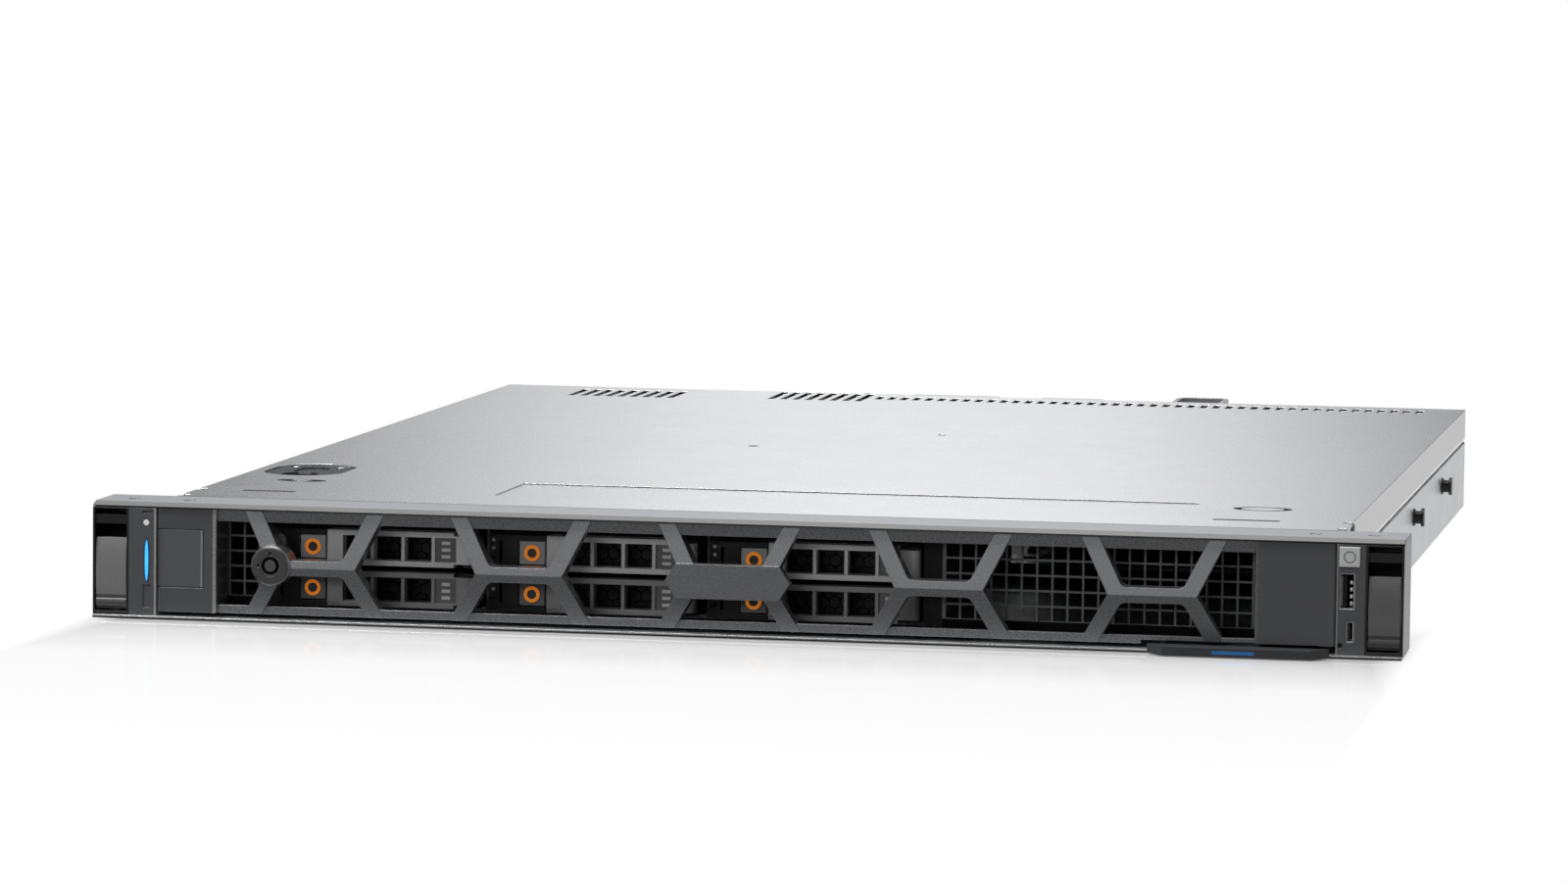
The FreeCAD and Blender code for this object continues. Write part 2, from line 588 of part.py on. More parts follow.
def rails():
    """Top and bottom rails: an upright front wall with a wall folded back along its edge."""
    start, end = LATTICE_LEFT - 1, LATTICE_RIGHT + 1
    top, fold = BEZEL_TOP, RAIL_FACE + BEZEL_WALL
    upper = [(RAIL_FACE, top - TOP_RAIL), (fold, top - TOP_RAIL), (fold, top - 1.6), (BEZEL_DEPTH - 1, top - 1.6),
             (BEZEL_DEPTH - 1, top), (RAIL_FACE, top)]
    low = BEZEL_BOTTOM
    lower = [(RAIL_FACE, low), (BEZEL_DEPTH - 1, low), (BEZEL_DEPTH - 1, low + 1.4), (fold, low + 1.4),
             (fold, low + BOTTOM_RAIL), (RAIL_FACE, low + BOTTOM_RAIL)]
    return [prism("x", upper, start, end), prism("x", lower, start, end)]


def end_block(left, right):
    """Hollow end block, open behind, with softened upright front edges."""
    outer = prism("z", rectangle(left, right, BLOCK_FACE, BEZEL_DEPTH), BEZEL_BOTTOM, BEZEL_TOP,
                  [0.8, 0.8, 0, 0])
    hollow = box(left + BEZEL_WALL, right - BEZEL_WALL, BLOCK_FACE + BEZEL_WALL, BEZEL_DEPTH + 1,
                 BEZEL_BOTTOM + BEZEL_WALL, BEZEL_TOP - BEZEL_WALL)
    return outer.cut(hollow)


def bezel():
    tab_low, tab_high = TAB_CENTRE - TAB_HEIGHT / 2, TAB_CENTRE + TAB_HEIGHT / 2
    tab_right = -BEZEL_HALF + TAB_WIDTH
    left = end_block(-BEZEL_HALF, LATTICE_LEFT)
    tab_well = box(-BEZEL_HALF - 1, tab_right + PLAY, 0, BLOCK_FACE + TAB_SHEET + TAB_TRAVEL + PLAY,
                   tab_low - PLAY, tab_high + PLAY)
    floor_y = BLOCK_FACE + TAB_SHEET + TAB_TRAVEL + PLAY
    well_floor = box(-BEZEL_HALF, tab_right + 2, floor_y, floor_y + 1.6, tab_low - 2, tab_high + 2)
    stem_hole = rod("y", TAB_STEM + FIT, (-BEZEL_HALF + TAB_WIDTH / 2, TAB_CENTRE), floor_y - 1, floor_y + 3)
    left = join([left.cut(tab_well), well_floor]).cut(stem_hole)
    right = end_block(LATTICE_RIGHT, BEZEL_HALF)
    card_notch = box(TAG_LEFT - 3, BEZEL_HALF + 1, -2, BEZEL_DEPTH + 1, BEZEL_BOTTOM - 1, TAG_HEIGHT + 2 * PLAY)
    rosette = rod("y", LOCK_RADIUS, (LOCK_X, LOCK_Z), -LOCK_PROUD, STRUT_DEPTH)
    rosette = rosette.makeChamfer(0.9, front_edges(rosette))
    bore = rod("y", LOCK_CORE + FIT, (LOCK_X, LOCK_Z), -3, STRUT_DEPTH + 1)
    keyways = [box(LOCK_X - 0.6, LOCK_X + 0.6, -3, 0.4, LOCK_Z + 2, LOCK_Z + LOCK_CORE + 1.0),
               box(LOCK_X - LOCK_CORE - 1.0, LOCK_X - 2, -3, 0.4, LOCK_Z - 0.6, LOCK_Z + 0.6)]
    whole = join([left, right, rosette] + rails() + lattice())
    save("bezel", carve(whole, [card_notch, bore] + keyways))
    tab = join([box(-BEZEL_HALF, tab_right, BLOCK_FACE, BLOCK_FACE + TAB_SHEET, tab_low, tab_high),
                rod("y", TAB_STEM, (-BEZEL_HALF + TAB_WIDTH / 2, TAB_CENTRE), BLOCK_FACE + 1, floor_y + 5)])
    save("bezel_tab", tab)


def bezel_lock():
    """Tubular lock core with its ring keyway and the cam behind the bezel."""
    front = -LOCK_PROUD + 0.2
    core = rod("y", LOCK_CORE, (LOCK_X, LOCK_Z), front, STRUT_DEPTH + 3.0)
    ring = rod("y", 3.3, (LOCK_X, LOCK_Z), front - 1, front + 2.0).cut(
        rod("y", 2.2, (LOCK_X, LOCK_Z), front - 1, front + 2.0))
    cam = prism("y", [(LOCK_X - 3, LOCK_Z - 3), (LOCK_X + 3, LOCK_Z - 3), (LOCK_X + 3, LOCK_Z + 11),
                      (LOCK_X - 3, LOCK_Z + 11)], STRUT_DEPTH + PLAY, STRUT_DEPTH + 2.3, 2.0)
    save("bezel_lock", join([carve(core, [ring]), cam]))


def info_tag():
    """Card that slides out under the bezel, with a chamfered grip across its front."""
    right, front, back = TAG_LEFT + TAG_WIDTH, -TAG_REACH, -LIP_REACH - PLAY
    grip = prism("z", [(TAG_LEFT, back), (TAG_LEFT, back - 1.2), (TAG_LEFT + TAG_CHAMFER, front),
                       (right - TAG_CHAMFER, front), (right, back - 1.2), (right, back)], 0.2, TAG_HEIGHT)
    low = STEEL + PLAY
    card = box(TAG_LEFT + 5, right - 5, back - 1, TAG_CARD_LENGTH, low, low + TAG_CARD)
    save("info_tag", join([grip, card]))


# ---------------------------------------------------------------- drive bays
def drive_places():
    """Left end and underside of each carrier: the upper row first, left to right."""
    return [(DRIVE_LEFT + column * COLUMN_PITCH, ROW_LOW + row * ROW_PITCH)
            for row in reversed(range(ROWS)) for column in range(COLUMNS)]


def drive_carrier(left, low):
    """Sled: face with its light bracket, side rails and cross bar, and the disk between them."""
    right, high = left + DRIVE_WIDTH, low + DRIVE_HEIGHT
    face, back = DRIVE_FACE, DRIVE_FACE + FACE_DEPTH
    block = box(left, right, face + HANDLE_DEPTH + PLAY, back, low, high)
    split = left + BUTTON_OFFSET + BUTTON_WIDTH / 2 + PLAY
    nose = box(left, split, face, face + HANDLE_DEPTH + PLAY, low, high)
    well = box(split - BUTTON_WIDTH - 2 * PLAY, split + 1, face - 1, face + BUTTON_DEPTH + BUTTON_TRAVEL + PLAY,
               low + 1.9, low + 1.9 + BUTTON_HEIGHT + 2 * PLAY)
    bracket = box(left - 1, left + 3.6, face - 1, face + 4, low + 4.2, high + 1)
    gap = box(left + 4.9, left + 6.0, face - 1, face + 4, low + 3.0, high - 2.2)
    air = [box(x, x + WINDOW_PITCH - POST_WIDTH, face + HANDLE_DEPTH, back + 1, low + HANDLE_RAIL,
               high - HANDLE_RAIL) for x in window_places(left)]
    hinge_x, hinge_y = handle_hinge(left)
    hollow = rod("z", HINGE_INSET + 1.2, (hinge_x, hinge_y), low - 1, high + 1)
    front = carve(join([block, nose]), [well, bracket, gap, hollow] + air)
    tongue = [box(hinge_x - 1.6, right, hinge_y - 1.5, back - 1, z, z + 1.0) for z in (low, high - 1.0)]
    pin = rod("z", HINGE_PIN, (hinge_x, hinge_y), low, high)
    side = (DRIVE_WIDTH - DISK_WIDTH) / 2 - PLAY
    edge = left + PLAY
    rail = box(edge, edge + RAIL_SHEET, back - 1, DISK_FRONT + DISK_LENGTH, low, high - 1)
    studs = [rod("x", 1.5, (DISK_FRONT + y, low + 5), edge + 0.5, left + side) for y in DISK_SCREWS]
    sides = [rail] + studs
    across = 2 * (left + DRIVE_WIDTH / 2)
    mirrored = [s.mirror(Vector(across / 2, 0, 0), Vector(1, 0, 0)) for s in sides]
    sled = join([front, pin] + tongue + sides + mirrored)
    disk_left = left + (DRIVE_WIDTH - DISK_WIDTH) / 2
    disk = prism("z", rectangle(disk_left, disk_left + DISK_WIDTH, DISK_FRONT, DISK_FRONT + DISK_LENGTH),
                 low + 0.8, low + 0.8 + DISK_HEIGHT, 2.0)
    pocket = prism("z", rectangle(disk_left + 6, disk_left + DISK_WIDTH - 6, DISK_FRONT + 6,
                                  DISK_FRONT + DISK_LENGTH - 22), low, low + 2.0, 3.0)
    return sled, disk.cut(pocket)


def window_places(left):
    """Left edges of the handle's windows."""
    first = left + BUTTON_OFFSET + BUTTON_WIDTH / 2 + 2 * PLAY + CATCH_WIDTH
    return [first + i * WINDOW_PITCH for i in range(WINDOWS)]


def handle_hinge(left):
    return left + DRIVE_WIDTH - HINGE_INSET, DRIVE_FACE + HINGE_INSET


def drive_handle(left, low):
    """Swing handle: catch plate, two rails, three windows with posts and a plain label field."""
    right, high = left + DRIVE_WIDTH, low + DRIVE_HEIGHT
    start = left + BUTTON_OFFSET + BUTTON_WIDTH / 2 + 2 * PLAY
    face, back = DRIVE_FACE, DRIVE_FACE + HANDLE_DEPTH
    hinge_x, hinge_y = handle_hinge(left)
    frame = box(start, hinge_x, face, back, low, high)
    knuckle = rod("z", HINGE_INSET, (hinge_x, hinge_y), low + 1.3, high - 1.3)
    relief = [box(hinge_x - HINGE_INSET - 1.5, right, face - 1, back + 1, z, z + 1.3)
              for z in (low, high - 1.3)]
    first = window_places(left)[0]
    opening_low, opening_high = low + HANDLE_RAIL, high - HANDLE_RAIL
    windows = [box(x, x + WINDOW_PITCH - POST_WIDTH, face - 1, back + 1, opening_low, opening_high)
               for x in window_places(left)]
    label = first + WINDOWS * WINDOW_PITCH
    field = box(label, hinge_x - HINGE_INSET - 0.6, face - 1, face + 0.8, opening_low, opening_high)
    recess = box(first - 0.01, label - POST_WIDTH, face - 1, face + 0.8, opening_low, opening_high)
    catch = box(start - 1, start + CATCH_WIDTH - 1.2, face - 1, face + 0.5, low - 1, low + 1.2)
    bore = rod("z", HINGE_PIN + FIT, (hinge_x, hinge_y), low - 1, high + 1)
    return carve(join([carve(frame, relief), knuckle]), windows + [field, recess, catch, bore])


def drive_button(left, low):
    """Square release button with a raised ring."""
    x, z = left + BUTTON_OFFSET, low + 2.2 + BUTTON_HEIGHT / 2
    block = socket_block(x, z, BUTTON_WIDTH, BUTTON_HEIGHT, DRIVE_FACE, DRIVE_FACE + BUTTON_DEPTH)
    block = block.makeFillet(0.4, front_edges(block))
    ring = rod("y", RING_OUTER, (x, z), DRIVE_FACE - 0.35, DRIVE_FACE + 1).cut(
        rod("y", RING_INNER, (x, z), DRIVE_FACE - 0.35, DRIVE_FACE + 1))
    return join([block, ring])


def drives():
    for number, (left, low) in enumerate(drive_places(), 1):
        save(f"drive_{number}", *drive_carrier(left, low))
        save(f"drive_handle_{number}", drive_handle(left, low))
        save(f"drive_button_{number}", drive_button(left, low))


def wall_places():
    """Middle planes of the cage's upright walls: halfway between neighbouring carriers."""
    first = DRIVE_LEFT - (COLUMN_PITCH - DRIVE_WIDTH) / 2
    return [first + i * COLUMN_PITCH for i in range(COLUMNS + 1)]


def drive_cage():
    """Sheet cage: floor, roof, upright walls with runners, folded posts up to the hood."""
    walls = wall_places()
    half = CAGE_SHEET / 2
    left, right = walls[0] - half, walls[-1] + half
    front, back = DRIVE_FACE + FACE_DEPTH + 1, CAGE_BACK
    low = ROW_LOW - PLAY - RUNNER
    parts = [box(left, right, front, back, low, low + CAGE_SHEET),
             box(left, right, front, back, CAGE_TOP, CAGE_TOP + CAGE_SHEET)]
    for i, x in enumerate(walls):
        parts.append(box(x - half, x + half, front, back, low, CAGE_TOP + CAGE_SHEET))
        for row in range(ROWS):
            under = ROW_LOW + row * ROW_PITCH - PLAY
            x0 = x if i == 0 else x - half - RUNNER_REACH
            x1 = x if i == COLUMNS else x + half + RUNNER_REACH
            parts.append(box(x0, x1, front, back - 6, under - RUNNER, under))
    for x in (left, right - CAGE_SHEET):
        parts.append(box(x, x + CAGE_SHEET, front, back, STEEL, low + CAGE_SHEET))
        parts.append(box(x, x + CAGE_SHEET, DRIVE_FACE, front + 1, STEEL, CAGE_TOP + CAGE_SHEET))
        parts.append(box(x, x + CAGE_SHEET, DRIVE_FACE, FRONT_DEPTH - 0.5, CAGE_TOP, COVER_UNDER))
    post = walls[-1] + (COLUMN_PITCH - DRIVE_WIDTH) / 2
    parts.append(box(right - CAGE_SHEET, post + POST_FOLD, DRIVE_FACE, DRIVE_FACE + CAGE_SHEET,
                     TAG_HEIGHT + 1, COVER_UNDER))
    save("drive_cage", join(parts))


def vent_grilles():
    """Perforated blanking plates either side of the bays, between cage and side walls."""
    walls = wall_places()
    post = walls[-1] + (COLUMN_PITCH - DRIVE_WIDTH) / 2 + POST_FOLD
    low, high = STEEL + PLAY + TAG_CARD + PLAY, WALL_TOP
    y0, y1 = DRIVE_FACE, DRIVE_FACE + CAGE_SHEET
    plates = []
    side, left_end = WALL_INSIDE, walls[0] - CAGE_SHEET / 2
    right_columns = int((side - RIGHT_GRID_END - post) / GRID_PITCH)
    for x0, x1, first, columns in ((post, side, post + 1.4, right_columns),
                                   (-side, left_end, left_end - LEFT_GRID_COLUMNS * GRID_PITCH,
                                    LEFT_GRID_COLUMNS)):
        hole = GRID_PITCH - GRID_BAR
        tools = [box(first + i * GRID_PITCH, first + i * GRID_PITCH + hole, y0 - 1, y1 + 1,
                     GRID_BOTTOM + j * GRID_PITCH, GRID_BOTTOM + j * GRID_PITCH + hole)
                 for i in range(columns) for j in range(GRID_ROWS)]
        plates.append(carve(box(x0, x1, y0, y1, low, high), tools))
    save("vent_grilles", *plates)


def backplane():
    """Upright board behind the bays, one connector for each drive and two at its rear."""
    walls = wall_places()
    board = box(walls[0], walls[-1] + 2, CAGE_BACK, CAGE_BACK + BOARD, STEEL + 1, UPRIGHT_TOP)
    slots = [box(x + 20, x + DRIVE_WIDTH - 20, CAGE_BACK - 1, CAGE_BACK + BOARD + 1, z + 8.6, z + 12.4)
             for x, z in drive_places()]
    plugs = []
    for left, low in drive_places():
        x = left + DRIVE_WIDTH / 2
        plugs.append(box(x - 18, x + 18, DISK_FRONT + DISK_LENGTH + PLAY, CAGE_BACK, low + 2.2, low + 7.4))
    rear = [box(x, x + CABLE_PLUG_WIDTH, CAGE_BACK + BOARD, CAGE_BACK + BOARD + 6, 16, 24) for x in CABLE_ENDS]
    save("backplane", join([carve(board, slots)] + plugs + rear))


# ---------------------------------------------------------------- fans
def fan_places():
    return [FAN_FIRST + i * FAN_PITCH for i in range(FANS)]


def fan_middle():
    return STEEL + FAN_SIZE / 2


def fan_frame(x):
    """Square frame with a round duct, corner holes and a motor plate on four arms behind."""
    z, half = fan_middle(), FAN_SIZE / 2
    back = FAN_FRONT + FAN_DEPTH
    frame = prism("y", rectangle(x - half, x + half, z - half, z + half), FAN_FRONT, back, 3.0)
    duct = rod("y", FAN_BORE, (x, z), FAN_FRONT - 1, back + 1)
    holes = [rod("y", 2.1, (x + i * 16.0, z + k * 16.0), FAN_FRONT - 1, back + 1) for i in (-1, 1) for k in (-1, 1)]
    waist = [box(x + i * half - 3, x + i * half + 3, FAN_FRONT + 4, back - 4, z - 9, z + 9) for i in (-1, 1)]
    plate = rod("y", FAN_HUB, (x, z), back - 3, back)
    arms = [box(x - FAN_BORE - 0.5, x + FAN_BORE + 0.5, back - 3, back, z - 1.2, z + 1.2),
            box(x - 1.2, x + 1.2, back - 3, back, z - FAN_BORE - 0.5, z + FAN_BORE + 0.5)]
    bore = rod("y", FAN_SHAFT + FIT, (x, z), back - 4, back + 1)
    return carve(join([carve(frame, [duct] + holes), plate] + arms), [bore])


def fan_rotor(x):
    """Hub, shaft and seven pitched blades."""
    z = fan_middle()
    front, back = FAN_FRONT + 3, FAN_FRONT + FAN_DEPTH - 3 - PLAY
    hub = rod("y", FAN_HUB, (x, z), front, back)
    hub = hub.makeChamfer(1.2, front_edges(hub))
    shaft = rod("y", FAN_SHAFT, (x, z), back - 1, FAN_FRONT + FAN_DEPTH - 0.5)
    tip = FAN_BORE - 0.7
    blade = box(x - 0.7, x + 0.7, front + 3, back - 3, z + FAN_HUB - 1, z + tip + 1)
    blade.rotate(Vector(x, (front + back) / 2, z), Vector(0, 0, 1), 38)
    blades = []
    for i in range(FAN_BLADES):
        turned = blade.copy()
        turned.rotate(Vector(x, 0, z), Vector(0, 1, 0), 360.0 * i / FAN_BLADES)
        blades.append(turned)
    sweep = rod("y", tip, (x, z), front, back)
    return join([hub, shaft] + [b.common(sweep) for b in blades])


def fans():
    save("fan_frames", *[fan_frame(x) for x in fan_places()])
    for number, x in enumerate(fan_places(), 1):
        save(f"fan_rotor_{number}", fan_rotor(x))


# ---------------------------------------------------------------- main board
def motherboard():
    """L-shaped board with screw holes, on the pan's standoffs."""
    side = WALL_INSIDE - 1.5
    points = [(-side, BOARD_FRONT), (side - 2, BOARD_FRONT), (side - 2, BOARD_STEP), (BOARD_RIGHT, BOARD_STEP),
              (BOARD_RIGHT, BOARD_REAR), (-side, BOARD_REAR)]
    board = prism("z", points, BOARD_LOW, BOARD_TOP)
    holes = [rod("z", BOARD_SCREW + 0.2, place, BOARD_LOW - 1, BOARD_TOP + 1) for place in BOARD_STUDS]
    save("motherboard", carve(board, holes))


def heatsink():
    """Base plate and upright fins along the airflow, with four spring screws."""
    low = BOARD_TOP + SOCKET_HEIGHT
    half = SINK_WIDTH / 2
    y0, y1 = SINK_Y - SINK_LENGTH / 2, SINK_Y + SINK_LENGTH / 2
    pitch = (SINK_WIDTH - SINK_FIN) / (SINK_FINS - 1)
    comb = [(SINK_X - half, low), (SINK_X + half, low)]
    for i in range(SINK_FINS):
        x = SINK_X + half - i * pitch
        comb += [(x, SINK_TOP), (x - SINK_FIN, SINK_TOP)]
        if i < SINK_FINS - 1:
            comb += [(x - SINK_FIN, low + SINK_BASE), (x - pitch, low + SINK_BASE)]
    fins = prism("y", comb, y0, y1)
    corners = [(SINK_X + i * (half - 7), SINK_Y + k * (SINK_LENGTH / 2 - 7)) for i in (-1, 1) for k in (-1, 1)]
    wells = [rod("z", 5.5, place, low + SINK_BASE, SINK_TOP + 1) for place in corners]
    screws = [rod("z", 3.2, place, low + SINK_BASE - 1, low + SINK_BASE + 7) for place in corners]
    save("heatsink", join([carve(fins, wells)] + screws))


def memory_modules():
    """Upright modules, each in its socket with its end latches."""
    modules = []
    half = DIMM_LENGTH / 2
    for i in range(DIMMS):
        x = DIMM_FIRST + i * DIMM_PITCH
        socket = box(x - 3.2, x + 3.2, DIMM_Y - half - 4.5, DIMM_Y + half + 4.5, BOARD_TOP, BOARD_TOP + 5.5)
        latches = [box(x - 2.4, x + 2.4, y, y + 3.2, BOARD_TOP + 5, BOARD_TOP + 15)
                   for y in (DIMM_Y - half - 4.2, DIMM_Y + half + 1.0)]
        card = box(x - 0.65, x + 0.65, DIMM_Y - half, DIMM_Y + half, BOARD_TOP + 5.5 - 1, DIMM_TOP)
        notch = box(x - 2, x + 2, DIMM_Y + 6, DIMM_Y + 9, BOARD_TOP, BOARD_TOP + 5)
        chips = [box(x - 1.7, x + 1.7, y, y + 11.0, BOARD_TOP + 14, BOARD_TOP + 28)
                 for y in (DIMM_Y - half + 6 + 15.4 * k for k in range(8))]
        modules.append(join([carve(card, [notch]), socket] + latches + chips))
    save("memory_modules", *modules)


def board_parts():
    """What stands on the main board: processor socket, coils, second heatsink, cell, plugs."""
    top = BOARD_TOP
    things = [box(SINK_X - 27, SINK_X + 27, SINK_Y - 25, SINK_Y + 25, top, top + SOCKET_HEIGHT)]
    coils = BOARD_FRONT + 48
    things += [box(SINK_X - 36 + 12 * i, SINK_X - 27 + 12 * i, coils, coils + 9, top, top + 6) for i in range(7)]
    middle = (riser_right() + BOARD_RIGHT) / 2
    x, y0, y1 = middle - 20, BODY_DEPTH - 133, BODY_DEPTH - 93
    base = box(x, x + 40, y0, y1, top, top + 4)
    fins = [box(x + 3.1 * i, x + 1.1 + 3.1 * i, y0, y1, top + 4, top + 13) for i in range(13)]
    things.append(join([base] + fins))
    place = (BOARD_RIGHT - 26, BODY_DEPTH - 55)
    cell = rod("z", 10.0, place, top + 2.2, top + 5.4)
    holder = rod("z", 11.5, place, top, top + 4).cut(rod("z", 10.0, place, top + 2.2, top + 6))
    things += [holder, cell]
    cans = [(SINK_X - 116, BOARD_FRONT + 68 + 12 * i) for i in range(3)]
    cans += [(SINK_X + 68 + 12 * i, coils) for i in range(3)]
    things += [rod("z", 4.0, place, top, top + 9) for place in cans]
    things += [box(x, x + CABLE_PLUG_WIDTH, CABLE_PLUG_Y, CABLE_PLUG_Y + 8, top, top + 9) for x in CABLE_ENDS]
    x, y = HALF_BODY - 97, BOARD_STEP - 83
    things += [box(x + 20 * i, x + 10 + 20 * i, y, y + 30, top, top + 10) for i in range(2)]
    things += [box(x + 30, x + 52, BOARD_STEP - 27, BOARD_STEP - 7, top, top + 12)]
    x, y = middle - 11, BODY_DEPTH - 189
    stick = box(x, x + 22, y + 4, y + 46, top + 3, top + 4.2)
    seat = box(x - 2, x + 24, y, y + 4, top, top + 5)
    things += [join([stick, seat, rod("z", 2.2, (x + 11, y + 44), top, top + 4.2)])]
    x, y = -HALF_BODY + 9, BOARD_FRONT + 22
    things.append(join([box(x, x + 10, y, y + 16, top, top + 20), box(x + 2, x + 8, y + 4, y + 12, top + 20, WALL_TOP)]))
    save("board_parts", *things)


def cables():
    """Signal leads from the backplane's rear plugs down to the main board's plugs."""
    leads = []
    start, low = CAGE_BACK + BOARD + 6, BOARD_TOP + 5
    for x in CABLE_ENDS:
        middle = x + CABLE_PLUG_WIDTH / 2
        points = [(start, 20.0), (start + 34, 20.0), (CABLE_PLUG_Y - 24, low), (CABLE_PLUG_Y, low)]
        wire = open_route(points, 30.0, middle)
        profile = Part.Wire(Part.makeCircle(CABLE_RADIUS, Vector(middle, start, 20.0), Vector(0, 1, 0)))
        leads.append(wire.makePipeShell([profile], True, False))
    save("cables", *leads)


def open_route(points, radius, x):
    """Open path in the plane of one x, with its inner corners rounded."""
    places = [Vector(x, y, z) for y, z in points]
    edges = []
    at = places[0]
    for before, corner, after in zip(places, places[1:], places[2:]):
        a, b = (before - corner).normalize(), (after - corner).normalize()
        half = a.getAngle(b) / 2
        run = radius / math.tan(half)
        middle = corner + (a + b).normalize() * (radius / math.sin(half) - radius)
        edges.append(Part.makeLine(at, corner + a * run))
        edges.append(Part.Arc(corner + a * run, middle, corner + b * run).toShape())
        at = corner + b * run
    edges.append(Part.makeLine(at, places[-1]))
    return Part.Wire(edges)


def air_shroud():
    """Plastic duct over the heatsink: roof and side walls, flared towards the fans."""
    high = COVER_UNDER - 2 * PLAY
    half = SHROUD_WIDTH / 2
    front, neck, back = BOARD_FRONT + 2, BOARD_FRONT + 26, SINK_Y + SINK_LENGTH / 2 + 10
    def shell(inset, top):
        wide = half + SHROUD_FLARE - inset
        points = [(SINK_X - wide, front - (inset and 1)), (SINK_X + wide, front - (inset and 1)),
                  (SINK_X + wide - SHROUD_FLARE, neck), (SINK_X + half - inset, back + (inset and 1)),
                  (SINK_X - half + inset, back + (inset and 1)), (SINK_X - wide + SHROUD_FLARE, neck)]
        return prism("z", points, BOARD_TOP + PLAY - (inset and 1), top)
    duct = shell(0, high).cut(shell(SHROUD_WALL, high - SHROUD_WALL))
    rib = box(SINK_X - half, SINK_X + half, neck + 14, neck + 16, SINK_TOP + 1, high - 0.5)
    save("air_shroud", join([duct, rib]))


# ---------------------------------------------------------------- rear end
def socket_frame(x0, x1, z0, z1, y0, depth, wall=1.0):
    """Metal socket body, open to the rear."""
    body = box(x0, x1, y0, BODY_DEPTH, z0, z1)
    return body.cut(box(x0 + wall, x1 - wall, BODY_DEPTH - depth, BODY_DEPTH + 1, z0 + wall, z1 - wall))


def rear_ports():
    """Socket bodies on the board's rear edge."""
    low = BOARD_TOP
    bodies = []
    for name, (inset, width, height) in REAR_SOCKETS.items():
        left = -HALF_BODY + inset
        right, high = left + width, low + height
        if name == "usb_pair":
            middle = low + height / 2
            lower = socket_frame(left, right, low, middle, BODY_DEPTH - 18, 14.0, 0.8)
            upper = socket_frame(left, right, middle, high, BODY_DEPTH - 18, 14.0, 0.8)
            tongues = [box(left + 2, right - 2, BODY_DEPTH - 15, BODY_DEPTH - 2, z + 1.2, z + 3.0)
                       for z in (low, middle)]
            bodies.append(join([lower, upper] + tongues))
        elif name == "display":
            flange = box(left, right, BODY_DEPTH - 14, BODY_DEPTH - STEEL, low, high)
            hood = prism("y", [(left + 6.6, low + 2), (right - 6.6, low + 2), (right - 5.2, high - 2),
                               (left + 5.2, high - 2)], BODY_DEPTH - STEEL - 1, BODY_DEPTH + 5.6, 2.0)
            hollow = prism("y", [(left + 7.4, low + 2.7), (right - 7.4, low + 2.7), (right - 6.0, high - 2.7),
                                 (left + 6.0, high - 2.7)], BODY_DEPTH - 2, BODY_DEPTH + 7, 1.6)
            posts = [rod("y", 2.3, (x, low + height / 2), BODY_DEPTH - STEEL - 1, BODY_DEPTH + 5.0)
                     for x in (left + 3.0, right - 3.0)]
            bodies.append(join([flange.cut(box(left - 1, right + 1, BODY_DEPTH - 9, BODY_DEPTH - 4, low + 3,
                                               high + 1)), carve(hood, [hollow])] + posts))
        else:
            bodies.append(socket_frame(left, right, low, high, BODY_DEPTH - 16, 13.0, 1.9))
    save("rear_ports", *bodies)


def rear_panel():
    """Rear wall with openings for sockets, card slots, vents and the power supply bays."""
    side = WALL_INSIDE
    y0, y1 = BODY_DEPTH - STEEL, BODY_DEPTH
    plate = box(-side, side, y0, y1, STEEL, WALL_TOP)
    tools = []
    for inset, width, height in REAR_SOCKETS.values():
        left = -HALF_BODY + inset
        tools.append(box(left - PLAY, left + width + PLAY, y0 - 1, y1 + 1, BOARD_TOP - PLAY,
                         BOARD_TOP + height + PLAY))
    tools += [box(SLOT_LEFT, SLOT_LEFT + SLOT_WIDTH, y0 - 1, y1 + 1, z, z + SLOT_HEIGHT) for z in slot_places()]
    tools.append(box(PSU_LEFT - PLAY, blank_left() + PSU_WIDTH + PLAY, y0 - 1, y1 + 1, STEEL - 1,
                     WALL_TOP - 0.4))
    first = SLOT_LEFT + SLOT_WIDTH + 12
    for i in range(int((PSU_LEFT - 8 - first) / VENT_PITCH)):
        x = first + VENT_PITCH * i
        tools += [box(x, x + 3.2, y0 - 1, y1 + 1, z, z + 9.0) for z in (8.0, 19.0, 30.0)]
    for i in range(14):
        x = -HALF_BODY + REAR_SOCKETS["usb_pair"][0] + VENT_PITCH * i
        tools.append(box(x, x + 3.2, y0 - 1, y1 + 1, 28.0, 37.0))
    arm = box(SLOT_LATCH_X - 4, SLOT_LATCH_X + 4, y1, y1 + 9, SLOT_LATCH_LOW - PLAY - 1.6, SLOT_LATCH_LOW - PLAY)
    pin = rod("z", SLOT_LATCH_PIN, (SLOT_LATCH_X, y1 + 4.6), SLOT_LATCH_LOW - PLAY - 1, SLOT_LATCH_LOW + 7)
    folds = []
    for near, far in REAR_FOLDS:
        x0, x1 = -HALF_BODY + near, -HALF_BODY + far
        folds += [box(x0, x1, y1, y1 + PLAY + STEEL, SLOT_LOW + SLOT_RISE + SLOT_HEIGHT + 1, WALL_TOP),
                  box(x0, x1, y1 + PLAY, y1 + PLAY + STEEL, WALL_TOP - 1, REAR_FOLD_TOP),
                  box(x0, x1, y1 + PLAY, y1 + REAR_FOLD, REAR_FOLD_TOP - STEEL, REAR_FOLD_TOP)]
    save("rear_panel", join([carve(plate, tools), arm, pin] + folds))


def slot_places():
    return [SLOT_LOW + i * SLOT_RISE for i in range(2)]


